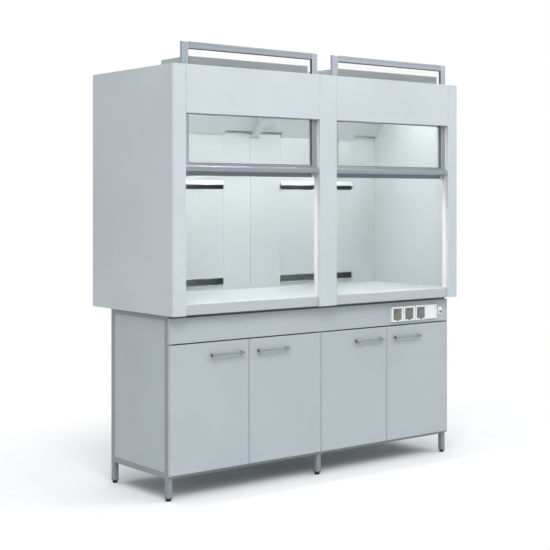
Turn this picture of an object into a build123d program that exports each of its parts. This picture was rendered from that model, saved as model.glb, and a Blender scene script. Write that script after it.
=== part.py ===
from build123d import *
import os

# Two-bay laboratory fume hood: a case with two sliding sashes on a tube stand with cupboards.
# Millimetres. The origin is on the floor under the middle of the case, +Z is up and the
# doors and sashes face -Y. The sashes are modelled fully raised.

os.makedirs("parts", exist_ok=True)

SIDES = ((-1, "left"), (1, "right"))
UPRIGHT = (Align.CENTER, Align.CENTER, Align.MIN)

# Case
case_width = 1800
case_depth = 700
case_height = 1117
case_bottom = 829
case_sheet = 1.5
corner_radius = 10
bend_radius = 2
back_flange = 20
top_flange = 20
post_width = 70
centre_post_width = 108
jamb_depth = 20
header_height = 216
seam = 0.6
cut_margin = 1

half_width = case_width / 2
front_y = -case_depth / 2
back_y = case_depth / 2
case_top = case_bottom + case_height
header_bottom = case_top - header_height
roof_under = case_top - case_sheet
jamb_outer = half_width - post_width
jamb_inner = centre_post_width / 2
bay_width = jamb_outer - jamb_inner
bay_x = (jamb_outer + jamb_inner) / 2
shell_inner = half_width - case_sheet
shell_back = back_y - 2 * case_sheet
jamb_back = front_y + jamb_depth

# Worktop, one moulded piece with a deep front edge and pockets underneath
worktop_thickness = 50
worktop_plate = 20
worktop_rim = 25
worktop_setback = 12
worktop_gap = 1
worktop_edge_radius = 4

# Stand of square tube
tube = 25
tube_wall = 2
stand_width = 1760
stand_front_setback = 73
stand_depth = 485
foot_height = 14
bottom_rail_z = 100
stand_gap = 1

stand_top = case_bottom + stand_gap
stand_half = stand_width / 2
stand_front = front_y + stand_front_setback
stand_back = stand_front + stand_depth
worktop_under = stand_top
worktop_top = worktop_under + worktop_thickness
rail_top = bottom_rail_z + tube

# Levelling feet and the plugs that close the legs
foot_radius = 12
foot_disc = 8.5
foot_neck_radius = 6
foot_stem_radius = 4
foot_stem_length = 24
foot_edge = 2
plug_cap = 2.5
plug_length = 20
plug_clearance = 0.2

# Cupboards
panel_sheet = 1.2
panel_depth = 18
panel_recess = 2
panel_lip = 15
control_panel_below_top = 14
control_panel_height = 115
control_panel_depth = 18
partition_thickness = 18

control_panel_top = stand_top - control_panel_below_top
control_panel_bottom = control_panel_top - control_panel_height

# Doors and their pivots
door_count = 4
door_depth = 16
door_above_rail_foot = 14.5
door_below_panel = 5.5
door_gap = 3
door_corner = 2.5
pivot_inset = 5.5
pivot_radius = 2.5
pivot_clearance = 0.05
pivot_reach = 8
pivot_plate = 3
pivot_plate_gap = 1.5
pivot_plate_rim = 5
pivot_collar_radius = 4.5
pivot_collar_gap = 0.3

door_bottom = bottom_rail_z + door_above_rail_foot
door_top = control_panel_bottom - door_below_panel
door_plane = stand_front - control_panel_depth
door_pitch = stand_width / door_count

# Door handles
handle_length = 186
handle_from_edge = 39
handle_below_top = 56.5
handle_stand_off = 21
handle_bar_radius = 5
handle_collar_radius = 7.5
handle_collar_length = 24
handle_chamfer = 1
handle_post_radius = 5
handle_foot_radius = 7.5
handle_foot_height = 3
handle_stud_radius = 2
handle_stud_length = 5
handle_stud_clearance = 0.25

# Sash, raised, with the guides that it slides in
sash_setback = 26
sash_depth = 14
sash_overlap = 6.5
sash_height = 577
sash_below_header = 257
stile_width = 34.5
top_rail_height = 30
bottom_rail_height = 35
glass_thickness = 5
glass_bite = 10
stile_bore_depth = 8
stile_bore_width = 16
stile_bore_end = 40
pull_height = 25
pull_chamfer = 7
pull_front_gap = 2
pull_end_gap = 2
pull_wall = 2.5
pull_round = 3
sash_clearance = 1

guide_width = 20
guide_groove_depth = 10
guide_back_wall = 2
guide_below_top = 61
cable_slot_depth = 18
cable_slot_width = 8
cable_radius = 1
cable_inset = 14
lug_clearance = 1
lug_height = 20
lug_lift = 5

sash_front = front_y + sash_setback
sash_back = sash_front + sash_depth
sash_mid = (sash_front + sash_back) / 2
groove_front = sash_front - sash_clearance
groove_back = sash_back + sash_clearance
guide_back = groove_back + guide_back_wall
sash_half = bay_width / 2 + sash_overlap
sash_bottom = header_bottom - sash_below_header
sash_top = sash_bottom + sash_height
guide_top = case_top - guide_below_top

# Fixed upper window behind the sash
window_below_sash = 21.5
window_above_header_edge = 30
window_depth = 14
window_overlap = 9
window_stile = 30
window_glass_thickness = 4

window_bottom = sash_bottom - window_below_sash
window_top = header_bottom + window_above_header_edge
window_front = guide_back
window_back = window_front + window_depth
window_half = bay_width / 2 + window_overlap

# White pads that keep the raised sash off the fixed window
pad_width = 14
pad_height = 18
pad_thickness = 2.2
pad_from_jamb = 4

# Inner lining
liner_inset = 28
liner_sheet = 1.5
liner_flange_gap = 0.5
inner_front_setback = 85
plenum_depth = 89

liner_x = half_width - liner_inset
inner_front_step = front_y + inner_front_setback
back_wall_y = back_y - plenum_depth

# Back baffles and the sloped ceiling
slotted_half = 255.5
skirt_height = 28
lower_slot_height = 32
upper_slot_above_worktop = 517
upper_slot_height = 23
lower_lip = 14
lower_lip_reach = 8
upper_lip = 24
upper_lip_reach = 12
slotted_below_top = 275
plain_below_top = 252
slope_depth = 198
slope_sheet = 1.5
slope_notch_gap = 4
rib_half = 12
rib_depth = 30
rib_proud = 1.5
rib_sheet = 1.5

# Heights of the slots and of the panels' tops
skirt_top = worktop_top + skirt_height
lower_slot_bottom = skirt_top
lower_slot_top = lower_slot_bottom + lower_slot_height
upper_slot_bottom = worktop_top + upper_slot_above_worktop
upper_slot_top = upper_slot_bottom + upper_slot_height
slotted_top = case_top - slotted_below_top
plain_top = case_top - plain_below_top
slope_top_y = back_wall_y - slope_depth

# Roof: lamps and exhaust
lamp_half = 347
lamp_setback = 45
lamp_depth = 222
lamp_height = 43
lamp_sheet = 1.2
lamp_corner = 3
lamp_opening_half = 310
lamp_opening_setback = 95
lamp_opening_depth = 155
lamp_window_margin = 12
lamp_window_thickness = 4
strip_half = 290
strip_width = 30
strip_height = 12
strip_spacing = 80
strip_chamfer = 2
spigot_radius = 99
spigot_height = 45
spigot_sheet = 1.5
spigot_flange = 18
spigot_from_back = 144
roof_slot_clearance = 3

lamp_front = front_y + lamp_setback
lamp_opening_front = front_y + lamp_opening_setback
lamp_opening_back = lamp_opening_front + lamp_opening_depth
spigot_y = back_y - spigot_from_back

# Lift gear: a shaft with cable drums over each bay, and a counterweight in the side cavity
shaft_below_top = 31
shaft_radius = 6
bearing_clearance = 0.05
drum_radius = 20
drum_core_gap = 0.3
drum_width = 7
drum_flange = 1.2
drum_rim = 3
collar_radius = 10
collar_gap = 0.5
shaft_end_gap = 1
bearing_block = 7.5
bearing_half = 15
bearing_half_height = 16
bracket_half = 32
bracket_sheet = 3
weight_thickness = 20
weight_depth = 126
weight_height = 405
weight_chamfer = 2
weight_above_worktop = 6

shaft_y = sash_mid + drum_radius
weight_y = shaft_y + drum_radius
weight_x = (liner_x + liner_sheet + shell_inner) / 2
shaft_z = case_top - shaft_below_top
weight_bottom = worktop_top + weight_above_worktop
weight_top = weight_bottom + weight_height
lug_top = sash_bottom + lug_lift + lug_height

# Sockets, cover and switch on the control panel
socket_count = 3
socket_to_cover = 83.4
socket_pitch = 83.5
socket_size = 76
socket_above_panel_foot = 55
socket_border = 9
socket_proud = 14
socket_corner = 2.5
socket_edge = 0.5
socket_lid_gap = 0.7
socket_lid_thickness = 2.5
socket_lid_bulge = 4
socket_lid_flat = 10
socket_lid_setback = 1
socket_tab_half = 6
socket_tab_height = 5
socket_tab_gap = 0.3
socket_pin_radius = 1.5
socket_pin_length = 3
socket_pin_clearance = 0.05
socket_pin_from_top = 4
insert_front = 3
insert_depth = 36
insert_recess_radius = 20
insert_recess_depth = 17.5
insert_hole_radius = 2.5
insert_hole_depth = 12
insert_hole_spacing = 19
insert_gap = 0.3
cover_width = 78
cover_height = 74
cover_from_end = 127.2
cover_depth = 15
cover_wall = 2
cover_bulge = 6
cover_round = 3
switch_from_end = 59
switch_above_socket = 2
switch_width = 26
switch_height = 44
switch_proud = 6
switch_body = 12
switch_rim = 3
switch_body_gap = 0.3
switch_edge = 1
button_below_switch = 6
button_radius = 6.5
button_clearance = 0.3
button_proud = 5
button_length = 14
button_travel = 3
button_edge = 1

socket_z = control_panel_bottom + socket_above_panel_foot
cover_x = stand_half - cover_from_end
socket_last_x = cover_x - socket_to_cover
socket_xs = [socket_last_x - index * socket_pitch for index in reversed(range(socket_count))]
switch_x = stand_half - switch_from_end
switch_z = socket_z + switch_above_socket
button_z = switch_z - button_below_switch
socket_front = door_plane - socket_proud
socket_window = socket_size - 2 * socket_border
lid_size = socket_window - 2 * socket_lid_gap
lid_front = socket_front + socket_lid_setback
lid_back = lid_front + socket_lid_thickness
lid_axis_y = lid_front + socket_lid_thickness / 2
lid_axis_z = socket_z + lid_size / 2 - socket_pin_from_top
insert_size = socket_window - 2 * insert_gap
button_front = door_plane - switch_proud - button_proud


def block(corner_a, corner_b, mode=Mode.ADD):
    """A box between two opposite corners, in the part that is being built."""
    size = [abs(b - a) for a, b in zip(corner_a, corner_b)]
    middle = tuple((a + b) / 2 for a, b in zip(corner_a, corner_b))
    with Locations(middle):
        Box(*size, mode=mode)


def folded_section(points, radius, sheet, side):
    """Section of a folded sheet: its outer line with rounded bends, thickened to one side."""
    with BuildLine() as outline:
        FilletPolyline(*points, radius=radius)
        offset(amount=sheet, side=side)
    make_face(outline.edges())


def rounded_slab(low, high, radius, axis, open_end):
    """A box whose edges are rounded round the face away from its open end."""
    with BuildPart() as slab:
        block(low, high)
        if radius > 0:
            closed = faces().filter_by(axis).sort_by(axis)[0 if open_end > 0 else -1]
            fillet(closed.edges(), radius=radius)
    return slab.part


def pan(corner_a, corner_b, sheet, corner, axis, open_end):
    """A folded pan with rounded front edges. Its end on the open_end side of the axis is open."""
    low = [min(a, b) for a, b in zip(corner_a, corner_b)]
    high = [max(a, b) for a, b in zip(corner_a, corner_b)]
    inner_low = [value + sheet for value in low]
    inner_high = [value - sheet for value in high]
    along = (Axis.X, Axis.Y, Axis.Z).index(axis)
    if open_end > 0:
        inner_high[along] = high[along] + sheet
    else:
        inner_low[along] = low[along] - sheet
    with BuildPart() as folded:
        add(rounded_slab(low, high, corner, axis, open_end))
        hollow = rounded_slab(inner_low, inner_high, corner - sheet, axis, open_end)
        add(hollow, mode=Mode.SUBTRACT)
    return folded.part


def ring_on_front(x_range, z_range, border, y, depth):
    """A rectangular ring that starts at the plane Y = y and runs back by depth."""
    width = x_range[1] - x_range[0]
    height = z_range[1] - z_range[0]
    middle = ((x_range[0] + x_range[1]) / 2, (z_range[0] + z_range[1]) / 2)
    with BuildSketch(Plane.XZ.offset(-y)) as ring:
        with Locations(middle):
            Rectangle(width, height)
            Rectangle(width - 2 * border, height - 2 * border, mode=Mode.SUBTRACT)
    extrude(ring.sketch, amount=-depth)


def rod_along_x(radius, x_range, y, z, mode=Mode.ADD):
    """A round rod parallel to X."""
    with Locations(Location(((x_range[0] + x_range[1]) / 2, y, z), (0, 90, 0))):
        Cylinder(radius, abs(x_range[1] - x_range[0]), mode=mode)


def rod_along_y(radius, x, y_range, z, mode=Mode.ADD):
    """A round rod parallel to Y."""
    with Locations(Location((x, (y_range[0] + y_range[1]) / 2, z), (90, 0, 0))):
        Cylinder(radius, abs(y_range[1] - y_range[0]), mode=mode)


def rod_along_z(radius, x, y, z_range, mode=Mode.ADD):
    """A round rod parallel to Z."""
    with Locations((x, y, (z_range[0] + z_range[1]) / 2)):
        Cylinder(radius, abs(z_range[1] - z_range[0]), mode=mode)


# Stand


def leg_places():
    """Middle of each leg: two rows of three."""
    rows = (stand_front + tube / 2, stand_back - tube / 2)
    columns = (-(stand_half - tube / 2), 0, stand_half - tube / 2)
    return [(x, y) for y in rows for x in columns]


def stand_tubes(half, mode, reach=0):
    """Every tube of the stand as a square bar of the given half width. reach lengthens the rails."""
    upper = stand_top - tube / 2
    lower = bottom_rail_z + tube / 2
    for x, y in leg_places():
        bottom = foot_height if mode == Mode.ADD else 0
        block((x - half, y - half, bottom), (x + half, y + half, upper), mode)
    for z in (lower, upper):
        for y in (stand_front + tube / 2, stand_back - tube / 2):
            ends = stand_half - tube + reach if z == lower else stand_half - tube / 2 + half
            block((-ends, y - half, z - half), (ends, y + half, z + half), mode)
        for x in (-(stand_half - tube / 2), 0, stand_half - tube / 2):
            ends = (stand_front + tube - reach, stand_back - tube + reach)
            block((x - half, ends[0], z - half), (x + half, ends[1], z + half), mode)


with BuildPart() as base_frame:
    stand_tubes(tube / 2, Mode.ADD)
    stand_tubes(tube / 2 - tube_wall, Mode.SUBTRACT, reach=tube_wall)
base_frame.part.label = "base_frame"
export_step(base_frame.part, "parts/base_frame.step")


with BuildPart() as levelling_feet:
    neck_height = foot_height - plug_cap - plug_clearance
    with Locations(*[(x, y, 0) for x, y in leg_places()]):
        Cylinder(foot_radius, foot_disc, align=UPRIGHT)
        Cylinder(foot_neck_radius, neck_height, align=UPRIGHT)
        Cylinder(foot_stem_radius, foot_height + foot_stem_length, align=UPRIGHT)
    rims = edges().filter_by(GeomType.CIRCLE).filter_by(lambda edge: edge.radius == foot_radius)
    fillet(rims, radius=foot_edge)
levelling_feet.part.label = "levelling_feet"
export_step(levelling_feet.part, "parts/levelling_feet.step")


with BuildPart() as leg_plugs:
    inner = tube - 2 * tube_wall - 2 * plug_clearance
    with Locations(*[(x, y, foot_height - plug_cap) for x, y in leg_places()]):
        Box(tube, tube, plug_cap, align=UPRIGHT)
    with Locations(*[(x, y, foot_height) for x, y in leg_places()]):
        Box(inner, inner, plug_length, align=UPRIGHT)
    with Locations(*[(x, y, foot_height) for x, y in leg_places()]):
        Cylinder(
            foot_stem_radius + plug_clearance,
            2 * (plug_length + plug_cap),
            mode=Mode.SUBTRACT,
        )
leg_plugs.part.label = "leg_plugs"
export_step(leg_plugs.part, "parts/leg_plugs.step")


# Cupboards

side_pan = pan(
    (stand_half - panel_recess, stand_front + tube, rail_top),
    (stand_half - panel_recess - panel_depth, stand_back - tube, stand_top - tube),
    panel_sheet,
    panel_sheet,
    Axis.X,
    -1,
)
partition_pan = pan(
    (-partition_thickness / 2, stand_front + tube, rail_top),
    (partition_thickness / 2, stand_back - tube, stand_top - tube),
    panel_sheet,
    panel_sheet,
    Axis.X,
    -1,
)
with BuildPart() as cupboard_side_panels:
    add(side_pan)
    mirror(about=Plane.YZ)
    add(partition_pan)
cupboard_side_panels.part.label = "cupboard_side_panels"
export_step(cupboard_side_panels.part, "parts/cupboard_side_panels.step")


with BuildPart() as cupboard_back:
    block((-stand_half, stand_back, bottom_rail_z), (stand_half, stand_back + panel_sheet, stand_top))
cupboard_back.part.label = "cupboard_back"
export_step(cupboard_back.part, "parts/cupboard_back.step")


with BuildPart() as cupboard_floors:
    block(
        (tube / 2 + seam, stand_front + seam, rail_top),
        (stand_half - tube - seam, stand_back - seam, rail_top + panel_sheet),
    )
    block(
        (tube / 2 + seam, stand_back - tube - panel_lip, rail_top),
        (stand_half - tube - seam, stand_back - tube - panel_lip - panel_sheet, rail_top + panel_lip),
    )
    mirror(about=Plane.YZ)
cupboard_floors.part.label = "cupboard_floors"
export_step(cupboard_floors.part, "parts/cupboard_floors.step")


def add_lips(x_range, z_range, back, lip, sheet):
    """Lips folded in around the open back of a pan, with their outer face at Y = back."""
    ring_on_front(x_range, z_range, lip, back - sheet, sheet)


control_pan = pan(
    (-stand_half, door_plane, control_panel_bottom),
    (stand_half, door_plane + control_panel_depth, control_panel_top),
    panel_sheet,
    door_corner,
    Axis.Y,
    1,
)
with BuildPart() as control_panel:
    add(control_pan)
    add_lips(
        (-stand_half, stand_half),
        (control_panel_bottom, control_panel_top),
        door_plane + control_panel_depth,
        panel_lip,
        panel_sheet,
    )
    for x in socket_xs:
        block(
            (x - socket_window / 2, door_plane - cut_margin, socket_z - socket_window / 2),
            (x + socket_window / 2, stand_front + cut_margin, socket_z + socket_window / 2),
            Mode.SUBTRACT,
        )
    rod_along_y(
        switch_width / 2 - switch_rim,
        switch_x,
        (door_plane - cut_margin, door_plane + control_panel_depth / 2),
        button_z,
        Mode.SUBTRACT,
    )
control_panel.part.label = "control_panel"
export_step(control_panel.part, "parts/control_panel.step")


# Doors, their handles and their pivots


def door_span(index):
    """Left and right edges of a door. The outer doors end flush with the stand."""
    left = index * door_pitch - stand_half
    right = left + door_pitch
    if index > 0:
        left += door_gap / 2
    if index < door_count - 1:
        right -= door_gap / 2
    return left, right


def hinge_side(index):
    """-1 for a door that hangs on its left edge, 1 on its right edge."""
    return -1 if index % 2 == 0 else 1


def pivot_x(index):
    """X of a door's pivots."""
    left, right = door_span(index)
    return left + pivot_inset if hinge_side(index) < 0 else right - pivot_inset


def handle_posts(index):
    """X of the two posts of a door's handle."""
    left, right = door_span(index)
    inner = handle_collar_length / 2
    if hinge_side(index) < 0:
        end = right - handle_from_edge
        return end - handle_length + inner, end - inner
    start = left + handle_from_edge
    return start + inner, start + handle_length - inner


pivot_y = door_plane + pivot_inset
handle_z = door_top - handle_below_top
handle_y = door_plane - handle_stand_off

for index in range(door_count):
    left, right = door_span(index)
    door_pan = pan(
        (left, door_plane, door_bottom),
        (right, door_plane + door_depth, door_top),
        panel_sheet,
        door_corner,
        Axis.Y,
        1,
    )
    with BuildPart() as door:
        add(door_pan)
        add_lips((left, right), (door_bottom, door_top), door_plane + door_depth, panel_lip, panel_sheet)
        rod_along_z(
            pivot_radius + pivot_clearance,
            pivot_x(index),
            pivot_y,
            (door_bottom - cut_margin, door_top + cut_margin),
            Mode.SUBTRACT,
        )
        for x in handle_posts(index):
            rod_along_y(
                handle_stud_radius + handle_stud_clearance,
                x,
                (door_plane - cut_margin, door_plane + panel_sheet + cut_margin),
                handle_z,
                Mode.SUBTRACT,
            )
    door.part.label = f"door_{index + 1}"
    export_step(door.part, f"parts/door_{index + 1}.step")

for index in range(door_count):
    posts = handle_posts(index)
    ends = (posts[0] - handle_collar_length / 2, posts[1] + handle_collar_length / 2)
    with BuildPart() as door_handle:
        rod_along_x(handle_bar_radius, ends, handle_y, handle_z)
        for x in posts:
            collar = (x - handle_collar_length / 2, x + handle_collar_length / 2)
            rod_along_x(handle_collar_radius, collar, handle_y, handle_z)
        rims = edges().filter_by(GeomType.CIRCLE).filter_by(lambda edge: edge.radius == handle_collar_radius)
        chamfer(rims, length=handle_chamfer)
        for x in posts:
            rod_along_y(handle_post_radius, x, (handle_y, door_plane), handle_z)
            rod_along_y(handle_foot_radius, x, (door_plane - handle_foot_height, door_plane), handle_z)
            rod_along_y(handle_stud_radius, x, (door_plane, door_plane + handle_stud_length), handle_z)
    door_handle.part.label = f"door_handle_{index + 1}"
    export_step(door_handle.part, f"parts/door_handle_{index + 1}.step")

with BuildPart() as door_pivots:
    for index in range(door_count):
        x = pivot_x(index)
        outward = hinge_side(index)
        plate_x = (x + outward * pivot_collar_radius, x - outward * pivot_inset)
        upper = door_top + pivot_plate_gap
        lower = door_bottom - pivot_plate_gap
        block(
            (plate_x[0], pivot_y - pivot_plate_rim, upper),
            (plate_x[1], stand_front, upper + pivot_plate),
        )
        rod_along_z(pivot_radius, x, pivot_y, (door_top - pivot_reach, upper))
        block(
            (plate_x[0], pivot_y - pivot_plate_rim, lower - pivot_plate),
            (plate_x[1], stand_front, lower),
        )
        rod_along_z(pivot_radius, x, pivot_y, (lower, door_bottom + pivot_reach))
        rod_along_z(pivot_collar_radius, x, pivot_y, (lower, door_bottom - pivot_collar_gap))
door_pivots.part.label = "door_pivots"
export_step(door_pivots.part, "parts/door_pivots.step")


# Sockets, blank cover and switch

with BuildPart() as socket_frames:
    for x in socket_xs:
        with BuildSketch(Plane.XZ.offset(-door_plane)):
            with Locations((x, socket_z)):
                RectangleRounded(socket_size, socket_size, socket_corner)
                Rectangle(socket_window, socket_window, mode=Mode.SUBTRACT)
        extrude(amount=socket_proud)
        reach = lid_size / 2 + socket_pin_length + socket_lid_gap
        rod_along_x(
            socket_pin_radius + socket_pin_clearance,
            (x - reach, x + reach),
            lid_axis_y,
            lid_axis_z,
            Mode.SUBTRACT,
        )
    fronts = faces().filter_by(Axis.Y).group_by(Axis.Y)[0]
    chamfer(fronts.edges(), length=socket_edge)
socket_frames.part.label = "socket_frames"
export_step(socket_frames.part, "parts/socket_frames.step")


with BuildPart() as socket_inserts:
    front = door_plane - insert_front
    for x in socket_xs:
        block(
            (x - insert_size / 2, front, socket_z - insert_size / 2),
            (x + insert_size / 2, front + insert_depth, socket_z + insert_size / 2),
        )
        rod_along_y(
            insert_recess_radius,
            x,
            (front - cut_margin, front + insert_recess_depth),
            socket_z,
            Mode.SUBTRACT,
        )
        for step in (-1, 1):
            rod_along_y(
                insert_hole_radius,
                x + step * insert_hole_spacing / 2,
                (front, front + insert_recess_depth + insert_hole_depth),
                socket_z,
                Mode.SUBTRACT,
            )
socket_inserts.part.label = "socket_inserts"
export_step(socket_inserts.part, "parts/socket_inserts.step")

for index, x in enumerate(socket_xs):
    bottom = socket_z - lid_size / 2
    top = socket_z + lid_size / 2
    with BuildPart() as socket_lid:
        block((x - lid_size / 2, lid_front, bottom), (x + lid_size / 2, lid_back, top))
        with BuildSketch(Plane.XY.offset(bottom)):
            with BuildLine():
                Line((x - lid_size / 2, lid_front), (x + lid_size / 2, lid_front))
                ThreePointArc(
                    (x + lid_size / 2, lid_front),
                    (x, lid_front - socket_lid_bulge),
                    (x - lid_size / 2, lid_front),
                )
            make_face()
        extrude(amount=lid_size - socket_lid_flat)
        block(
            (x - socket_tab_half, lid_front - socket_lid_bulge, bottom - socket_tab_height),
            (x + socket_tab_half, socket_front - socket_tab_gap, bottom + socket_tab_height),
        )
        rod_along_x(
            socket_pin_radius,
            (x - lid_size / 2 - socket_pin_length, x + lid_size / 2 + socket_pin_length),
            lid_axis_y,
            lid_axis_z,
        )
    socket_lid.part.label = f"socket_lid_{index + 1}"
    export_step(socket_lid.part, f"parts/socket_lid_{index + 1}.step")

with BuildPart() as outlet_cover:
    side_y = door_plane - cover_depth + cover_bulge
    with BuildSketch(Plane.XY.offset(socket_z - cover_height / 2)):
        with BuildLine():
            Polyline(
                (cover_x - cover_width / 2, side_y),
                (cover_x - cover_width / 2, door_plane),
                (cover_x + cover_width / 2, door_plane),
                (cover_x + cover_width / 2, side_y),
            )
            ThreePointArc(
                (cover_x + cover_width / 2, side_y),
                (cover_x, door_plane - cover_depth),
                (cover_x - cover_width / 2, side_y),
            )
        make_face()
    extrude(amount=cover_height)
    ends = faces().filter_by(Axis.Z)
    fillet(ends.edges().filter_by(GeomType.CIRCLE), radius=cover_round)
    offset(amount=-cover_wall, openings=faces().filter_by(Axis.Y).sort_by(Axis.Y)[-1])
outlet_cover.part.label = "outlet_cover"
export_step(outlet_cover.part, "parts/outlet_cover.step")


with BuildPart() as switch_housing:
    with BuildSketch(Plane.XZ.offset(-door_plane)):
        with Locations((switch_x, switch_z)):
            SlotOverall(switch_height, switch_width, rotation=90)
    extrude(amount=switch_proud)
    chamfer(faces().sort_by(Axis.Y)[0].edges(), length=switch_edge)
    rod_along_y(
        switch_width / 2 - switch_rim - switch_body_gap,
        switch_x,
        (door_plane, door_plane + switch_body),
        button_z,
    )
    rod_along_y(
        button_radius + button_clearance,
        switch_x,
        (door_plane - switch_proud - cut_margin, door_plane + switch_body + cut_margin),
        button_z,
        Mode.SUBTRACT,
    )
switch_housing.part.label = "switch_housing"
export_step(switch_housing.part, "parts/switch_housing.step")


with BuildPart() as power_button:
    rod_along_y(button_radius, switch_x, (button_front, button_front + button_length), button_z)
    fillet(faces().sort_by(Axis.Y)[0].edges(), radius=button_edge)
power_button.part.label = "power_button"
export_step(power_button.part, "parts/power_button.step")


# Case

for side, name in SIDES:
    with BuildPart() as side_shell:
        with BuildSketch(Plane.XY.offset(case_bottom)):
            folded_section(
                (
                    (side * (half_width - back_flange), back_y - case_sheet),
                    (side * half_width, back_y - case_sheet),
                    (side * half_width, front_y),
                    (side * jamb_outer, front_y),
                    (side * jamb_outer, jamb_back),
                ),
                [bend_radius, corner_radius, bend_radius],
                case_sheet,
                Side.RIGHT if side > 0 else Side.LEFT,
            )
        extrude(amount=case_height)
        bite = case_sheet / 2
        for z in (case_bottom, roof_under):
            with BuildSketch(Plane.XY.offset(z)):
                with BuildLine():
                    FilletPolyline(
                        (side * (jamb_outer + bite), jamb_back - bite),
                        (side * (jamb_outer + bite), front_y + bite),
                        (side * (half_width - bite), front_y + bite),
                        (side * (half_width - bite), jamb_back - bite),
                        radius=[0, corner_radius - bite],
                    )
                    Line(
                        (side * (half_width - bite), jamb_back - bite),
                        (side * (jamb_outer + bite), jamb_back - bite),
                    )
                make_face()
            extrude(amount=case_sheet)
        block(
            (side * (half_width - bite), jamb_back, roof_under - case_sheet),
            (side * (shell_inner - top_flange), shell_back, roof_under),
        )
    side_shell.part.label = f"side_shell_{name}"
    export_step(side_shell.part, f"parts/side_shell_{name}.step")

centre_pan = pan(
    (-jamb_inner, front_y, case_bottom),
    (jamb_inner, jamb_back, case_top),
    case_sheet,
    bend_radius,
    Axis.Y,
    1,
)
with BuildPart() as centre_post:
    add(centre_pan)
centre_post.part.label = "centre_post"
export_step(centre_post.part, "parts/centre_post.step")

header_pan = pan(
    (jamb_inner + seam, front_y, header_bottom),
    (jamb_outer - seam, jamb_back, case_top),
    case_sheet,
    bend_radius,
    Axis.Y,
    1,
)
with BuildPart() as header_panels:
    add(header_pan)
    mirror(about=Plane.YZ)
header_panels.part.label = "header_panels"
export_step(header_panels.part, "parts/header_panels.step")


with BuildPart() as roof_panel:
    with BuildSketch(Plane.XY.offset(roof_under)):
        roof_depth = shell_back - jamb_back
        with Locations((0, jamb_back + roof_depth / 2)):
            Rectangle(2 * shell_inner, roof_depth)
        slot_back = sash_back + roof_slot_clearance
        with Locations(*[(x, (jamb_back + slot_back) / 2) for x in (-bay_x, bay_x)]):
            Rectangle(2 * (sash_half + roof_slot_clearance), slot_back - jamb_back, mode=Mode.SUBTRACT)
        with Locations(*[(x, (lamp_opening_front + lamp_opening_back) / 2) for x in (-bay_x, bay_x)]):
            Rectangle(2 * lamp_opening_half, lamp_opening_back - lamp_opening_front, mode=Mode.SUBTRACT)
        with Locations(*[(x, spigot_y) for x in (-bay_x, bay_x)]):
            Circle(spigot_radius - spigot_sheet, mode=Mode.SUBTRACT)
    extrude(amount=case_sheet)
    fillet(edges().filter_by(Axis.Z).group_by(Axis.Y)[-1], radius=bend_radius)
roof_panel.part.label = "roof_panel"
export_step(roof_panel.part, "parts/roof_panel.step")


with BuildPart() as rear_panel:
    block((-half_width, back_y - case_sheet, case_bottom), (half_width, back_y, case_top))
    fillet(edges().filter_by(Axis.Z).group_by(Axis.Y)[-1], radius=case_sheet / 2)
rear_panel.part.label = "rear_panel"
export_step(rear_panel.part, "parts/rear_panel.step")


with BuildPart() as worktop:
    nose_front = front_y + worktop_setback
    block(
        (-shell_inner, jamb_back + worktop_gap, worktop_under),
        (shell_inner, shell_back, worktop_top),
    )
    fillet(edges().filter_by(Axis.Z).group_by(Axis.Y)[-1], radius=bend_radius)
    for side, name in SIDES:
        block(
            (side * (jamb_inner + worktop_gap), nose_front, worktop_under),
            (side * (jamb_outer - worktop_gap), jamb_back + worktop_gap, worktop_top),
        )
    noses = edges().filter_by(Axis.X).filter_by(lambda edge: abs(edge.center().Y - nose_front) < seam)
    fillet(noses, radius=worktop_edge_radius)
    pocket_ends = (
        (nose_front + worktop_rim, stand_front),
        (stand_front + tube, stand_back - tube),
        (stand_back, shell_back - worktop_rim),
    )
    for side, name in SIDES:
        for start, end in pocket_ends:
            block(
                (side * (jamb_inner + worktop_rim), start, worktop_under),
                (side * (jamb_outer - worktop_rim), end, worktop_top - worktop_plate),
                Mode.SUBTRACT,
            )
worktop.part.label = "worktop"
export_step(worktop.part, "parts/worktop.step")


# Lining, baffles and ceiling

with BuildPart() as side_liners:
    with BuildSketch(Plane.YZ.offset(liner_x)):
        with BuildLine():
            Polyline(
                (guide_back, worktop_top),
                (back_wall_y, worktop_top),
                (back_wall_y, plain_top),
                (slope_top_y + 2 * rib_half, roof_under),
                (inner_front_step, roof_under),
                (inner_front_step, window_top),
                (guide_back, window_top),
                close=True,
            )
        make_face()
    extrude(amount=liner_sheet)
    block(
        (jamb_outer + window_overlap + liner_flange_gap, guide_back, worktop_top),
        (liner_x, guide_back + liner_sheet, window_top),
    )
    mirror(about=Plane.YZ)
side_liners.part.label = "side_liners"
export_step(side_liners.part, "parts/side_liners.step")


with BuildPart() as inner_front_panels:
    with BuildSketch(Plane.YZ):
        folded_section(
            ((guide_back, window_top), (inner_front_step, window_top), (inner_front_step, roof_under)),
            bend_radius,
            liner_sheet,
            Side.LEFT,
        )
    extrude(amount=liner_x + liner_sheet, both=True)
    block(
        (-(jamb_inner - window_overlap - liner_flange_gap), guide_back, worktop_top),
        (jamb_inner - window_overlap - liner_flange_gap, guide_back + liner_sheet, window_top - seam),
    )
inner_front_panels.part.label = "inner_front_panels"
export_step(inner_front_panels.part, "parts/inner_front_panels.step")

slotted_x = (bay_x - slotted_half, bay_x + slotted_half)
wall_back = back_wall_y + liner_sheet


def bent_lip(x_range, root_z, tip_z, reach):
    """A strip bent forward out of the back wall, from root_z to tip_z."""
    with BuildSketch(Plane.YZ.offset(x_range[0])) as section:
        Polygon(
            (back_wall_y, root_z),
            (wall_back, root_z),
            (wall_back - reach, tip_z),
            (back_wall_y - reach, tip_z),
            align=None,
        )
    extrude(section.sketch, amount=x_range[1] - x_range[0])


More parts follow.
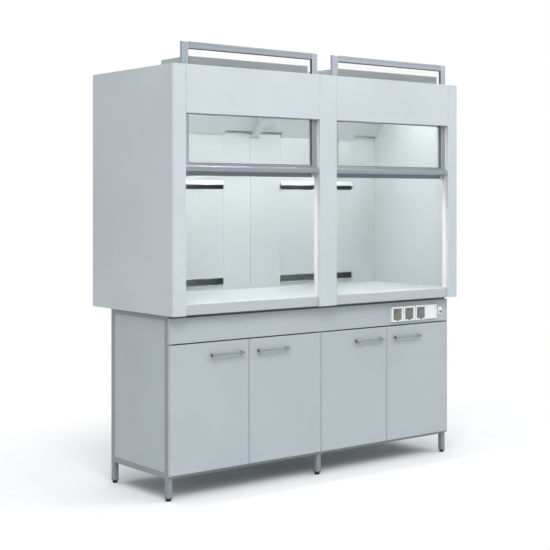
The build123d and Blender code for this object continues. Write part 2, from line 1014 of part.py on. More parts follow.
with BuildPart() as baffle_side_panels:
    for start, end in ((rib_half, slotted_x[0]), (slotted_x[1], liner_x)):
        block((start + seam, back_wall_y, skirt_top + seam), (end - seam, wall_back, plain_top))
    mirror(about=Plane.YZ)
baffle_side_panels.part.label = "baffle_side_panels"
export_step(baffle_side_panels.part, "parts/baffle_side_panels.step")


with BuildPart() as baffle_skirt:
    lip_root = lower_slot_bottom - lower_lip
    block((0, back_wall_y, worktop_top), (liner_x, wall_back, lip_root))
    for start, end in ((0, slotted_x[0]), (slotted_x[1], liner_x)):
        block((start, back_wall_y, lip_root), (end, wall_back, skirt_top))
    bent_lip(slotted_x, lip_root, lower_slot_bottom, lower_lip_reach)
    mirror(about=Plane.YZ)
baffle_skirt.part.label = "baffle_skirt"
export_step(baffle_skirt.part, "parts/baffle_skirt.step")


with BuildPart() as slotted_baffles:
    block((slotted_x[0], back_wall_y, lower_slot_top), (slotted_x[1], wall_back, upper_slot_bottom))
    lip_root = upper_slot_top + upper_lip
    block((slotted_x[0], back_wall_y, lip_root), (slotted_x[1], wall_back, slotted_top))
    bent_lip(slotted_x, lip_root, upper_slot_top, upper_lip_reach)
    mirror(about=Plane.YZ)
slotted_baffles.part.label = "slotted_baffles"
export_step(slotted_baffles.part, "parts/slotted_baffles.step")

# The slope runs forward and up from the top of the slotted wall to the roof
slope_foot = Vector(back_wall_y, slotted_top)
slope_head = Vector(slope_top_y, roof_under)
slope_run = (slope_head - slope_foot).normalized()
slope_in = Vector(-slope_run.Y, slope_run.X)


def at_roof(point):
    """Where a line through the point, parallel to the slope, meets the roof."""
    return point + slope_run * ((roof_under - point.Y) / slope_run.Y)


def flat_points(points):
    """Points as plain pairs."""
    return [(point.X, point.Y) for point in points]


with BuildPart() as sloped_panels:
    behind = slope_foot - slope_in * slope_sheet
    with BuildSketch(Plane.YZ.offset(rib_half + seam)):
        Polygon(*flat_points((slope_foot, slope_head, at_roof(behind), behind)), align=None)
    extrude(amount=liner_x - rib_half - 2 * seam)
    for start, end in ((0, slotted_x[0]), (slotted_x[1], liner_x)):
        block(
            (start, slope_top_y, slotted_top - cut_margin),
            (end, back_wall_y + rib_half, plain_top + slope_notch_gap),
            Mode.SUBTRACT,
        )
    mirror(about=Plane.YZ)
sloped_panels.part.label = "sloped_panels"
export_step(sloped_panels.part, "parts/sloped_panels.step")


def rib_profile(depth, rise):
    """Side view of the rib on the slope, as deep as given, with its lower end cut back."""
    foot = slope_foot + slope_in * (depth / 4)
    knee = slope_foot + slope_in * depth + slope_run * rise
    Polygon(*flat_points((slope_foot, slope_head, at_roof(knee), knee, foot)), align=None)


with BuildPart() as centre_rib:
    with BuildSketch(Plane.YZ):
        rib_profile(rib_depth, rib_depth)
    extrude(amount=rib_half, both=True)
    with BuildSketch(Plane.YZ):
        rib_profile(rib_depth - rib_sheet, rib_depth + rib_sheet)
    extrude(amount=rib_half - rib_sheet, both=True, mode=Mode.SUBTRACT)
    block((-rib_half, back_wall_y - rib_proud, skirt_top + seam), (rib_half, wall_back, slotted_top))
centre_rib.part.label = "centre_rib"
export_step(centre_rib.part, "parts/centre_rib.step")


# Roof fittings

lamp_pan = pan(
    (bay_x - lamp_half, lamp_front, case_top),
    (bay_x + lamp_half, lamp_front + lamp_depth, case_top + lamp_height),
    lamp_sheet,
    lamp_corner,
    Axis.Z,
    -1,
)
with BuildPart() as lamp_housings:
    add(lamp_pan)
    mirror(about=Plane.YZ)
lamp_housings.part.label = "lamp_housings"
export_step(lamp_housings.part, "parts/lamp_housings.step")


with BuildPart() as lamp_windows:
    margin = lamp_window_margin
    block(
        (bay_x - lamp_opening_half - margin, lamp_opening_front - margin, case_top),
        (bay_x + lamp_opening_half + margin, lamp_opening_back + margin, case_top + lamp_window_thickness),
    )
    mirror(about=Plane.YZ)
lamp_windows.part.label = "lamp_windows"
export_step(lamp_windows.part, "parts/lamp_windows.step")


with BuildPart() as led_strips:
    strip_top = case_top + lamp_height - lamp_sheet
    lamp_y = (lamp_opening_front + lamp_opening_back) / 2
    for step in (-1, 1):
        y = lamp_y + step * strip_spacing / 2
        block(
            (bay_x - strip_half, y - strip_width / 2, strip_top - strip_height),
            (bay_x + strip_half, y + strip_width / 2, strip_top),
        )
    chamfer(faces().filter_by(Axis.Z).group_by(Axis.Z)[0].edges(), length=strip_chamfer)
    mirror(about=Plane.YZ)
led_strips.part.label = "led_strips"
export_step(led_strips.part, "parts/led_strips.step")


with BuildPart() as exhaust_spigots:
    with Locations(*[(x, spigot_y, case_top) for x in (-bay_x, bay_x)]):
        Cylinder(spigot_radius + spigot_flange, spigot_sheet, align=UPRIGHT)
        Cylinder(spigot_radius, spigot_height, align=UPRIGHT)
        Hole(spigot_radius - spigot_sheet)
exhaust_spigots.part.label = "exhaust_spigots"
export_step(exhaust_spigots.part, "parts/exhaust_spigots.step")


# Sashes and fixed windows

JAMBS = ((jamb_inner, -1), (jamb_outer, 1))

with BuildPart() as sash_guides:
    for edge, out in JAMBS:
        block(
            (edge, jamb_back, worktop_top),
            (edge + out * guide_width, guide_back, guide_top),
        )
        block(
            (edge, groove_front, worktop_top),
            (edge + out * guide_groove_depth, groove_back, guide_top),
            Mode.SUBTRACT,
        )
        block(
            (edge, sash_mid - cable_slot_width / 2, worktop_top),
            (edge + out * cable_slot_depth, sash_mid + cable_slot_width / 2, guide_top),
            Mode.SUBTRACT,
        )
        pad_x = edge - out * pad_from_jamb
        block(
            (pad_x, window_front - pad_thickness, window_bottom),
            (pad_x - out * pad_width, window_front, window_bottom + pad_height),
        )
    mirror(about=Plane.YZ)
sash_guides.part.label = "sash_guides"
export_step(sash_guides.part, "parts/sash_guides.step")

with BuildPart() as window_frames:
    ring_on_front(
        (bay_x - window_half, bay_x + window_half),
        (window_bottom, window_top),
        window_stile,
        window_front,
        window_depth,
    )
    window_mid = (window_front + window_back) / 2
    opening_half = window_half - window_stile + glass_bite
    opening_z = (window_bottom + window_stile - glass_bite, window_top - window_stile + glass_bite)
    block(
        (bay_x - opening_half, window_mid - window_glass_thickness / 2, opening_z[0]),
        (bay_x + opening_half, window_mid + window_glass_thickness / 2, opening_z[1]),
        Mode.SUBTRACT,
    )
    mirror(about=Plane.YZ)
window_frames.part.label = "window_frames"
export_step(window_frames.part, "parts/window_frames.step")

with BuildPart() as window_glass:
    block(
        (bay_x - opening_half, window_mid - window_glass_thickness / 2, opening_z[0]),
        (bay_x + opening_half, window_mid + window_glass_thickness / 2, opening_z[1]),
    )
    mirror(about=Plane.YZ)
window_glass.part.label = "window_glass"
export_step(window_glass.part, "parts/window_glass.step")

glass_half = sash_half - stile_width + glass_bite
glass_z = (sash_bottom + bottom_rail_height - glass_bite, sash_top - top_rail_height + glass_bite)

for side, name in SIDES:
    centre = side * bay_x
    with BuildPart() as sash_frame:
        block((centre - sash_half, sash_front, sash_bottom), (centre + sash_half, sash_back, sash_top))
        block(
            (centre - sash_half + stile_width, sash_front, sash_bottom + bottom_rail_height),
            (centre + sash_half - stile_width, sash_back, sash_top - top_rail_height),
            Mode.SUBTRACT,
        )
        block(
            (centre - glass_half, sash_mid - glass_thickness / 2, glass_z[0]),
            (centre + glass_half, sash_mid + glass_thickness / 2, glass_z[1]),
            Mode.SUBTRACT,
        )
        for out in (-1, 1):
            outer = centre + out * sash_half
            bore_x = outer - out * (stile_width - glass_bite - stile_bore_width) / 2
            block(
                (bore_x, sash_mid - stile_bore_depth / 2, sash_bottom),
                (bore_x - out * stile_bore_width, sash_mid + stile_bore_depth / 2, sash_top - stile_bore_end),
                Mode.SUBTRACT,
            )
            lug_half = cable_slot_width / 2 - lug_clearance
            lug_end = cable_slot_depth - lug_clearance - sash_overlap
            block(
                (outer, sash_mid - lug_half, lug_top - lug_height),
                (outer + out * lug_end, sash_mid + lug_half, lug_top),
            )
    sash_frame.part.label = f"sash_frame_{name}"
    export_step(sash_frame.part, f"parts/sash_frame_{name}.step")

    with BuildPart() as sash_glass:
        block(
            (centre - glass_half, sash_mid - glass_thickness / 2, glass_z[0]),
            (centre + glass_half, sash_mid + glass_thickness / 2, glass_z[1]),
        )
    sash_glass.part.label = f"sash_glass_{name}"
    export_step(sash_glass.part, f"parts/sash_glass_{name}.step")

    with BuildPart() as sash_pull:
        pull_half = bay_width / 2 - pull_end_gap
        pull_front = front_y + pull_front_gap
        with BuildSketch(Plane.YZ.offset(centre - pull_half)):
            with BuildLine():
                Polyline(
                    (sash_front, sash_bottom),
                    (pull_front, sash_bottom),
                    (pull_front, sash_bottom + pull_height - pull_chamfer),
                    (pull_front + pull_chamfer, sash_bottom + pull_height),
                    (sash_front, sash_bottom + pull_height),
                    close=True,
                )
            make_face()
        extrude(amount=2 * pull_half)
        ends = faces().filter_by(Axis.X).edges()
        fillet(ends.sort_by(Axis.Y)[:2], radius=pull_round)
        block(
            (centre - pull_half + 2 * pull_round, pull_front + 2 * pull_wall, sash_bottom),
            (
                centre + pull_half - 2 * pull_round,
                sash_front - pull_wall,
                sash_bottom + pull_height - 2 * pull_wall,
            ),
            Mode.SUBTRACT,
        )
    sash_pull.part.label = f"sash_pull_{name}"
    export_step(sash_pull.part, f"parts/sash_pull_{name}.step")


# Lift gear

drum_core = drum_radius - cable_radius - drum_core_gap
bearing_x = shell_inner - bearing_block
drum_xs = (jamb_inner - cable_inset, jamb_outer + cable_inset, weight_x)

for side, name in SIDES:
    with BuildPart() as lift_shaft:
        inner_end = bracket_half - bracket_sheet - shaft_end_gap
        rod_along_x(
            shaft_radius,
            (side * inner_end, side * (bearing_x + bearing_block / 2)),
            shaft_y,
            shaft_z,
        )
        for x in drum_xs:
            half = drum_width / 2
            rod_along_x(drum_core, (side * (x - half), side * (x + half)), shaft_y, shaft_z)
            for start in (x - half, x + half - drum_flange):
                rod_along_x(
                    drum_core + drum_rim,
                    (side * start, side * (start + drum_flange)),
                    shaft_y,
                    shaft_z,
                )
        for start in (bracket_half + collar_gap, bearing_x - collar_gap - drum_flange):
            rod_along_x(collar_radius, (side * start, side * (start + drum_flange)), shaft_y, shaft_z)
    lift_shaft.part.label = f"lift_shaft_{name}"
    export_step(lift_shaft.part, f"parts/lift_shaft_{name}.step")

    with BuildPart() as counterweight:
        block(
            (side * (weight_x - weight_thickness / 2), weight_y - weight_depth / 2, weight_bottom),
            (side * (weight_x + weight_thickness / 2), weight_y + weight_depth / 2, weight_top),
        )
        chamfer(edges().filter_by(Axis.Z), length=weight_chamfer)
    counterweight.part.label = f"counterweight_{name}"
    export_step(counterweight.part, f"parts/counterweight_{name}.step")

    with BuildPart() as sash_cables:
        for x in drum_xs[:2]:
            rod_along_z(cable_radius, side * x, sash_mid, (lug_top, shaft_z))
    sash_cables.part.label = f"sash_cables_{name}"
    export_step(sash_cables.part, f"parts/sash_cables_{name}.step")

    with BuildPart() as weight_cable:
        rod_along_z(cable_radius, side * weight_x, weight_y, (weight_top, shaft_z))
    weight_cable.part.label = f"weight_cable_{name}"
    export_step(weight_cable.part, f"parts/weight_cable_{name}.step")

with BuildPart() as shaft_brackets:
    for side, name in SIDES:
        block(
            (side * bearing_x, shaft_y - bearing_half, shaft_z - bearing_half_height),
            (side * shell_inner, shaft_y + bearing_half, shaft_z + bearing_half_height),
        )
        block(
            (side * (bracket_half - bracket_sheet), shaft_y - bearing_half, shaft_z - bearing_half_height),
            (side * bracket_half, shaft_y + bearing_half, roof_under),
        )
    block(
        (-bracket_half, shaft_y - bearing_half, roof_under - bracket_sheet),
        (bracket_half, shaft_y + bearing_half, roof_under),
    )
    rod_along_x(
        shaft_radius + bearing_clearance,
        (-bearing_x - bearing_block / 2 - cut_margin, bearing_x + bearing_block / 2 + cut_margin),
        shaft_y,
        shaft_z,
        Mode.SUBTRACT,
    )
shaft_brackets.part.label = "shaft_brackets"
export_step(shaft_brackets.part, "parts/shaft_brackets.step")
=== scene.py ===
# %% [markdown]
# A two-bay fume hood, dressed for the camera
#
# A fume hood is a ventilated case in which a chemist works behind a glass sash. This lesson takes
# the engineering model of one, loads it as a fixed frame, gives every sheet, section and moulding
# the finish that it has in a laboratory, and adds the small parts that a drawing leaves out:
# screws, seals, wire rope, threaded feet and the contacts of the sockets. Everything is in metres,
# with the origin on the floor under the middle of the case, +Z up and the doors facing -Y.

# %% Load the frame
import math

import bmesh
import bpy
from mathutils import Matrix, Vector


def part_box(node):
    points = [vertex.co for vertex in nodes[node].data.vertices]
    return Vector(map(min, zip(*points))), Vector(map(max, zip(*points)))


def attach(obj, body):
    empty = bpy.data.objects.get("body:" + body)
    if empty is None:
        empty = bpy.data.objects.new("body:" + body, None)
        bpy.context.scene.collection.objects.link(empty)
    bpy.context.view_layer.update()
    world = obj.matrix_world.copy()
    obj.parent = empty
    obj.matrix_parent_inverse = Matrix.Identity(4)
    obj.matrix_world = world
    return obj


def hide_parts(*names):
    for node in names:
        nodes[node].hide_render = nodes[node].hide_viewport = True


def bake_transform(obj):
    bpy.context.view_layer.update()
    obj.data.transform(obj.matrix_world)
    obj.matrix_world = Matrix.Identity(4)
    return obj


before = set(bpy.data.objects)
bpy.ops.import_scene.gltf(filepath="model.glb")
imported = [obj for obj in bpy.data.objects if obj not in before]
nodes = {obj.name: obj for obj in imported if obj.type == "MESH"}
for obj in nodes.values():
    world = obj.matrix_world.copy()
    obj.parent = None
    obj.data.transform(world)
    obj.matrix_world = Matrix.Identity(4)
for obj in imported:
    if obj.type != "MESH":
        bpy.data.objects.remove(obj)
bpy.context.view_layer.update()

MM = 0.001

# %% [markdown]
# Helpers for colour and shading nodes
#
# Paint charts give colours as sRGB hex codes, while Blender's shaders work in linear light, so one
# function turns one into the other. A second small function adds a node, sets its inputs and links
# its sources, so that each material below reads like a recipe.


# %% Colour and node helpers
def linear(hex_colour):
    """A four-part linear colour from an sRGB hex code."""
    parts = [int(hex_colour[start:start + 2], 16) / 255 for start in (0, 2, 4)]
    lit = [part / 12.92 if part <= 0.04045 else ((part + 0.055) / 1.055) ** 2.4 for part in parts]
    return lit + [1.0]


def add_node(tree, kind, values=None, links=None, **settings):
    """Adds a shader node, with its settings, its input values and the sockets that feed it."""
    made = tree.nodes.new(kind)
    for name, value in settings.items():
        setattr(made, name, value)
    for name, value in (values or {}).items():
        made.inputs[name].default_value = value
    for name, source in (links or {}).items():
        tree.links.new(source, made.inputs[name])
    return made


def new_material(name, **values):
    """A material with one Principled shader, its inputs set by names such as base_color."""
    made = bpy.data.materials.new(name)
    made.use_nodes = True
    shader = made.node_tree.nodes["Principled BSDF"]
    for key, value in values.items():
        shader.inputs["IOR" if key == "ior" else key.replace("_", " ").title()].default_value = value
    return made, made.node_tree, shader


def object_pattern(tree, size):
    """Object coordinates counted in real sizes: one unit of the pattern is size metres, per axis."""
    where = add_node(tree, "ShaderNodeTexCoord")
    scale = tuple(1 / value for value in size)
    source = {"Vector": where.outputs["Object"]}
    return add_node(tree, "ShaderNodeMapping", {"Scale": scale}, source).outputs["Vector"]


def noise(tree, size, detail=2.0):
    """Noise whose blobs have the given real size along X, Y and Z."""
    source = {"Vector": object_pattern(tree, size)}
    return add_node(
        tree, "ShaderNodeTexNoise", {"Scale": 1.0, "Detail": detail}, source
    ).outputs["Fac"]


def two_tones(tree, factor, low, high, start=0.35, end=0.65):
    """A colour that runs from low to high as the factor runs from start to end."""
    ramp = add_node(tree, "ShaderNodeValToRGB", links={"Fac": factor})
    ramp.color_ramp.elements[0].position = start
    ramp.color_ramp.elements[0].color = linear(low)
    ramp.color_ramp.elements[1].position = end
    ramp.color_ramp.elements[1].color = linear(high)
    return ramp.outputs["Color"]


def vary(tree, factor, low, high):
    """A value that runs from low to high with a noise factor."""
    return add_node(
        tree,
        "ShaderNodeMapRange",
        {"From Min": 0.3, "From Max": 0.7, "To Min": low, "To Max": high},
        {"Value": factor},
    ).outputs["Result"]


def bump(tree, shader, height, strength, distance):
    """Feeds the shader's normal from a height."""
    made = add_node(
        tree, "ShaderNodeBump", {"Strength": strength, "Distance": distance}, {"Height": height}
    )
    tree.links.new(made.outputs["Normal"], shader.inputs["Normal"])


# %% [markdown]
# Powder coat
#
# The case, the doors and the stand are steel, sprayed with dry polyester powder and baked. The
# melted powder pulls into very soft waves a few millimetres apart, called orange peel. Paint is not
# a metal: it has the gloss of a plastic, with an index of refraction of about 1.5. One fine noise
# drives a faint bump for the waves, and a broad one shifts the tone by a percent or two, as real
# panels vary between one coat and the next. The lining of the chamber has an epoxy coat, thicker
# and smoother, against acids.


# %% Powder coats
def powder_coat(name, low, high, roughness, strength=0.06):
    """Baked powder paint between two close tones, with its orange peel."""
    made, tree, shader = new_material(name, roughness=roughness, ior=1.5)
    tone = two_tones(tree, noise(tree, (0.4, 0.4, 0.4), 3.0), low, high)
    tree.links.new(tone, shader.inputs["Base Color"])
    bump(tree, shader, noise(tree, (2.5 * MM,) * 3), strength, 0.2 * MM)
    return made


case_coat = powder_coat("case_powder_coat", "c4cbce", "c9d0d3", 0.42)
# The doors, the control panel and the cupboard take a darker copy of the case paint: painted shade
# for their place under the worktop.
door_shaded_coat = powder_coat("door_shaded_powder_coat", "b3bbbf", "b8c0c4", 0.42)
stand_coat = powder_coat("stand_powder_coat", "8c939a", "92999f", 0.40)
lamp_coat = powder_coat("lamp_powder_coat", "9fa5a7", "a5aaac", 0.50)
# The front strips of the lamp housings get a darker grey: painted shade for the dark band behind the
# raised sash.
lamp_front_shade_coat = powder_coat("lamp_front_painted_shade_coat", "8d9294", "93989a", 0.5, 0.05)
lining_coat = powder_coat("lining_epoxy_coat", "b2b8b9", "b7bdbe", 0.40, 0.04)
weight_paint = powder_coat("weight_black_paint", "35383b", "3d4043", 0.55, 0.15)
coats = (case_coat, door_shaded_coat, stand_coat, lamp_coat, lamp_front_shade_coat, lining_coat, weight_paint)
print("coats:", [coat.name for coat in coats])

# %% [markdown]
# Anodised aluminium
#
# The sashes and the fixed windows are framed in extruded aluminium. The press leaves fine straight
# die lines along each bar, and the anodising bath turns the surface into a thin, slightly matt
# oxide. Bars run both ways in a frame, so one finish has its lines along X, for the rails, and
# another has them along Z, for the stiles; the stiles' finish is lighter, painted light for the
# stiles lit by the lamps in the chamber. The fixed windows are framed in a darker tone, painted
# shade for frames that sit in the shadow behind the sash. Real die lines are some 0.05 mm apart;
# they are drawn at 0.5 mm so that a camera a few metres away still feels them.


# %% Anodised aluminium
def anodised(name, low, high, along):
    """Extruded and anodised aluminium with die lines along one axis, 0 for X or 2 for Z."""
    made, tree, shader = new_material(name, metallic=0.85)
    size = [0.5 * MM] * 3
    size[along] = 0.6
    lines = noise(tree, size, 1.0)
    tree.links.new(two_tones(tree, lines, low, high), shader.inputs["Base Color"])
    tree.links.new(vary(tree, lines, 0.36, 0.46), shader.inputs["Roughness"])
    bump(tree, shader, lines, 0.08, 0.05 * MM)
    return made


rail_aluminium = anodised("anodised_aluminium_rails", "9aa0a8", "a3a9b1", 0)
# The stiles' lighter tone is painted light, for stiles lit by the lamps in the chamber.
stile_lit_aluminium = anodised("anodised_aluminium_stiles_painted_light", "aeb4bc", "b7bdc5", 2)
# The fixed windows' darker tone is painted shade, for frames that sit in the shadow behind the sash.
window_shaded_aluminium = anodised("anodised_aluminium_window_painted_shade", "858b92", "8d939a", 0)
print("aluminium:", rail_aluminium.name, stile_lit_aluminium.name, window_shaded_aluminium.name)

# %% [markdown]
# Steel
#
# The door handles are turned from stainless bar and brushed; the lift gear, the duct collars and
# the pivots are mild steel plated with zinc, which shows pale crystals called spangle; the sash
# hangs on galvanised wire rope. All three are full metals, so their colour is the tint of the
# reflection and the roughness carries the finish.


# %% Steel
def brushed_steel(name, low, high, along):
    """Stainless steel brushed along one axis, 0 for X, 1 for Y or 2 for Z."""
    made, tree, shader = new_material(name, metallic=1.0)
    size = [0.4 * MM] * 3
    size[along] = 12 * MM
    grain = noise(tree, size, 3.0)
    tree.links.new(two_tones(tree, grain, low, high), shader.inputs["Base Color"])
    tree.links.new(vary(tree, grain, 0.24, 0.38), shader.inputs["Roughness"])
    bump(tree, shader, grain, 0.1, 0.04 * MM)
    return made


def zinc_plate(name, low, high):
    """Zinc plated steel with the faint crystals of its bath."""
    made, tree, shader = new_material(name, metallic=1.0)
    source = {"Vector": object_pattern(tree, (6 * MM,) * 3)}
    cells = add_node(tree, "ShaderNodeTexVoronoi", {"Scale": 1.0}, source)
    crystals = cells.outputs["Distance"]
    tree.links.new(two_tones(tree, crystals, high, low, 0.1, 0.7), shader.inputs["Base Color"])
    tree.links.new(vary(tree, crystals, 0.34, 0.48), shader.inputs["Roughness"])
    return made


handle_steel = brushed_steel("handle_brushed_stainless", "8b8e93", "9da0a4", 0)
zinc_steel = zinc_plate("zinc_plated_steel", "989da1", "b1b5b8")
rope_steel = zinc_plate("galvanised_wire_rope", "7f8489", "a2a6aa")
screw_steel = zinc_plate("screw_zinc_plate", "a6aaad", "bcbfc2")
print("steels:", handle_steel.name, zinc_steel.name, rope_steel.name, screw_steel.name)

# %% [markdown]
# Glass
#
# The sashes hold clear toughened glass, and the lamps shine down through a clear pane in the roof.
# Such glass is 4 to 5 mm thick and only its cut edge looks green. A fully refracting shader would
# block the lamps' light, because a path tracer can't aim shadow rays through it. So the panes are
# mostly see-through by their alpha, and what is left is the glass itself: a faint tint and gloss.


# %% Glass
def clear_pane(name, tint, alpha):
    """Flat glass that lets the light of lamps pass."""
    made, tree, shader = new_material(
        name, roughness=0.02, ior=1.52, transmission_weight=1.0, alpha=alpha
    )
    tone = two_tones(tree, noise(tree, (0.5, 0.5, 0.5)), tint, "ffffff")
    tree.links.new(tone, shader.inputs["Base Color"])
    return made


sash_pane = clear_pane("clear_toughened_glass", "f1f8f6", 0.09)
lamp_pane = clear_pane("lamp_window_glass", "f6fbfa", 0.12)
print("glass:", sash_pane.name, lamp_pane.name)

# %% [markdown]
# Technical ceramic
#
# The worktop is one fired slab with a glazed surface. A glaze is glass over stone: smooth, with a
# soft mottle underneath from the clay body. Two noises, a broad and a fine one, make the mottle.

# %% Worktop ceramic
worktop_glaze, tree, shader = new_material("worktop_glazed_ceramic", roughness=0.3, ior=1.5)
mottle = two_tones(tree, noise(tree, (9 * MM,) * 3, 6.0), "b6bcbe", "bcc2c4", 0.3, 0.7)
tree.links.new(mottle, shader.inputs["Base Color"])
bump(tree, shader, noise(tree, (1.5 * MM,) * 3), 0.03, 0.1 * MM)
print("worktop:", worktop_glaze.name)

# %% [markdown]
# Plastics
#
# Sockets, cover and switch are moulded in glossy white plastic such as ABS; the sash guides are an
# off-white slippery plastic, nearly matt; feet and plugs are black. The seals of the sashes are
# dark rubber and those of the windows pale silicone, and the lids over the sockets are smoked.
# The lids' colour runs in blotches between blue-grey and brown: the smoke tint is their own, the
# blue and brown are a painted reflection of the room. A moulding copies the fine spark-eroded skin
# of its mould, so each plastic gets a slight pebble in its bump.


# %% Plastics
def moulded(name, low, high, roughness, strength=0.06, **more):
    """Moulded plastic between two close tones, with the skin of its mould."""
    made, tree, shader = new_material(name, roughness=roughness, ior=1.49, **more)
    tone = two_tones(tree, noise(tree, (30 * MM,) * 3), low, high)
    tree.links.new(tone, shader.inputs["Base Color"])
    bump(tree, shader, noise(tree, (0.8 * MM,) * 3), strength, 0.1 * MM)
    return made


white_abs = moulded("white_moulded_abs", "eeefec", "f3f3f1", 0.25)
guide_plastic = moulded("guide_low_friction_plastic", "f3f1e8", "f6f4ee", 0.5)
black_rubber = moulded("black_moulded_rubber", "131416", "1b1c1e", 0.6, strength=0.2)
seal_rubber = moulded("dark_glazing_rubber", "3a3e43", "43474c", 0.65, strength=0.2)
pale_seal = moulded("pale_glazing_silicone", "c3c9cb", "cbd1d3", 0.5, strength=0.2)
green_abs = moulded("green_moulded_abs", "12897a", "179a89", 0.25)
# The lids' blue-grey and brown tones are a painted reflection over a real smoked tint.
smoked_lid_painted_reflection = moulded(
    "smoked_polycarbonate_painted_reflection", "869ca4", "a8a294", 0.08, strength=0.01,
    transmission_weight=0.55, alpha=0.92,
)
contact_brass, tree, shader = new_material("contact_brass", metallic=1.0, roughness=0.3)
tree.links.new(
    two_tones(tree, noise(tree, (2 * MM,) * 3), "c09a4c", "d0ab5e"), shader.inputs["Base Color"]
)
print("plastics:", white_abs.name, guide_plastic.name, black_rubber.name, green_abs.name)
print("seals:", seal_rubber.name, pale_seal.name)
print("lids and contacts:", smoked_lid_painted_reflection.name, contact_brass.name)

# %% [markdown]
# Lamp diffuser
#
# Above each lamp window a row of small white diodes sits behind an opal strip. The strip glows
# evenly, which emission on its shader gives, while a weak noise keeps it from looking like a hole.

# %% Lamp diffuser
lamp_glow, tree, shader = new_material("lamp_opal_diffuser", roughness=0.5, emission_strength=78.0)
tree.links.new(
    two_tones(tree, noise(tree, (20 * MM,) * 3), "fbfbf8", "ffffff"), shader.inputs["Emission Color"]
)
shader.inputs["Base Color"].default_value = linear("f4f6f6")
print("lamp:", lamp_glow.name, "strength", shader.inputs["Emission Strength"].default_value)

# %% [markdown]
# Dress the frame
#
# Most nodes of the frame already have the right shape and only need their finish. A few are drawn
# again further down, with finer shapes that stand in for them. A table from finish to nodes keeps
# the whole assembly in view.

# %% Dress the frame
SIDE_SIGNS = {"left": -1, "right": 1}
SIDES = tuple(SIDE_SIGNS)
DOORS = range(1, 5)
LIDS = range(1, 4)
finishes = {
    case_coat: [
        "side_shell_left", "side_shell_right", "centre_post", "header_panels", "roof_panel",
        "rear_panel",
    ],
    # The darker door paint is painted shade under the worktop.
    door_shaded_coat: ["control_panel", "cupboard_side_panels", "cupboard_back", "cupboard_floors"]
    + [f"door_{number}" for number in DOORS],
    stand_coat: ["base_frame"],
    lamp_coat: ["lamp_housings"],
    lining_coat: [
        "side_liners", "inner_front_panels", "baffle_side_panels", "baffle_skirt",
        "slotted_baffles", "sloped_panels", "centre_rib",
    ],
    weight_paint: [f"counterweight_{side}" for side in SIDES],
    rail_aluminium: ["window_frames"]
    + [f"sash_{part}_{side}" for part in ("frame", "pull") for side in SIDES],
    sash_pane: ["window_glass"] + [f"sash_glass_{side}" for side in SIDES],
    lamp_pane: ["lamp_windows"],
    lamp_glow: ["led_strips"],
    worktop_glaze: ["worktop"],
    white_abs: ["socket_frames", "socket_inserts", "outlet_cover", "switch_housing"],
    smoked_lid_painted_reflection: [f"socket_lid_{number}" for number in LIDS],
    green_abs: ["power_button"],
    guide_plastic: ["sash_guides"],
    black_rubber: ["levelling_feet", "leg_plugs"],
    handle_steel: [f"door_handle_{number}" for number in DOORS],
    zinc_steel: ["exhaust_spigots", "door_pivots", "shaft_brackets"]
    + [f"lift_shaft_{side}" for side in SIDES],
    rope_steel: [f"{part}_{side}" for part in ("sash_cables", "weight_cable") for side in SIDES],
}
for finish, members in finishes.items():
    for member in members:
        nodes[member].data.materials.clear()
        nodes[member].data.materials.append(finish)
bare = sorted(set(nodes) - {member for members in finishes.values() for member in members})
print("nodes without a finish:", bare)

# %% [markdown]
# Tools for modelling by hand
#
# Every small part below starts as a primitive of the right size and is shaped in edit mode, the way
# it would be in a window: a box is inset and bridged into a ring, a disc is extruded ring by ring
# into a turned part. Operators act on whatever is selected, so each helper first clears the
# selection, takes hold of its own piece, and picks faces by the way they look.


# %% Modelling helpers
SMOOTH_ANGLE = math.radians(40)
TURNS = {"X": (0, math.radians(90), 0), "Y": (math.radians(90), 0, 0), "Z": (0, 0, 0)}


def start_clean():
    """Leaves nothing selected, in object mode."""
    if bpy.context.object and bpy.context.object.mode != "OBJECT":
        bpy.ops.object.mode_set(mode="OBJECT")
    bpy.ops.object.select_all(action="DESELECT")


def take_hold(piece):
    """Selects one piece alone and makes it the active one."""
    start_clean()
    piece.select_set(True)
    bpy.context.view_layer.objects.active = piece


def settle(piece):
    """Moves a piece's place and turn into its mesh."""
    take_hold(piece)
    bpy.ops.object.transform_apply(location=True, rotation=True, scale=True)
    return piece


def own_copy(source):
    """A copy of a piece that has its own mesh."""
    twin = source.copy()
    twin.data = source.data.copy()
    bpy.context.scene.collection.objects.link(twin)
    return twin


def box_between(name, low, high):
    """A box primitive that fills the space between two corners."""
    start_clean()
    low, high = Vector(low), Vector(high)
    bpy.ops.mesh.primitive_cube_add(size=1, location=(low + high) / 2)
    piece = bpy.context.object
    piece.name = name
    piece.scale = high - low
    return settle(piece)


def edit_piece(piece, kind):
    """Goes into edit mode with nothing selected, ready to pick elements of one kind."""
    take_hold(piece)
    bpy.ops.object.mode_set(mode="EDIT")
    bpy.ops.mesh.select_mode(type=kind)
    bpy.ops.mesh.select_all(action="DESELECT")
    return bmesh.from_edit_mesh(piece.data)


def pick_faces(piece, test):
    """Goes into edit mode with only the faces that pass the test selected."""
    shape = edit_piece(piece, "FACE")
    for face in shape.faces:
        face.select_set(test(face))
    bmesh.update_edit_mesh(piece.data)


def round_edges(piece, width):
    """Rounds the sharp edges with a bevel modifier and applies it."""
    take_hold(piece)
    soft = piece.modifiers.new("soft_edges", "BEVEL")
    soft.width = width
    soft.segments = 2
    soft.limit_method = "ANGLE"
    bpy.ops.object.modifier_apply(modifier=soft.name)
    bpy.ops.object.shade_smooth_by_angle(angle=SMOOTH_ANGLE)
    return piece


def ring_between(name, low, high, border):
    """A rectangular ring seen along Y: both faces of a box are inset and bridged into a hole."""
    piece = box_between(name, low, high)
    pick_faces(piece, lambda face: abs(face.normal.y) > 0.9)
    bpy.ops.mesh.inset(thickness=border, use_individual=True)
    bpy.ops.mesh.bridge_edge_loops()
    bpy.ops.object.mode_set(mode="OBJECT")
    return piece


def rings_in_mm(rings):
    """Rings of a turned part, (height, radius), from millimetres to metres."""
    return [(height * MM, radius * MM) for height, radius in rings]


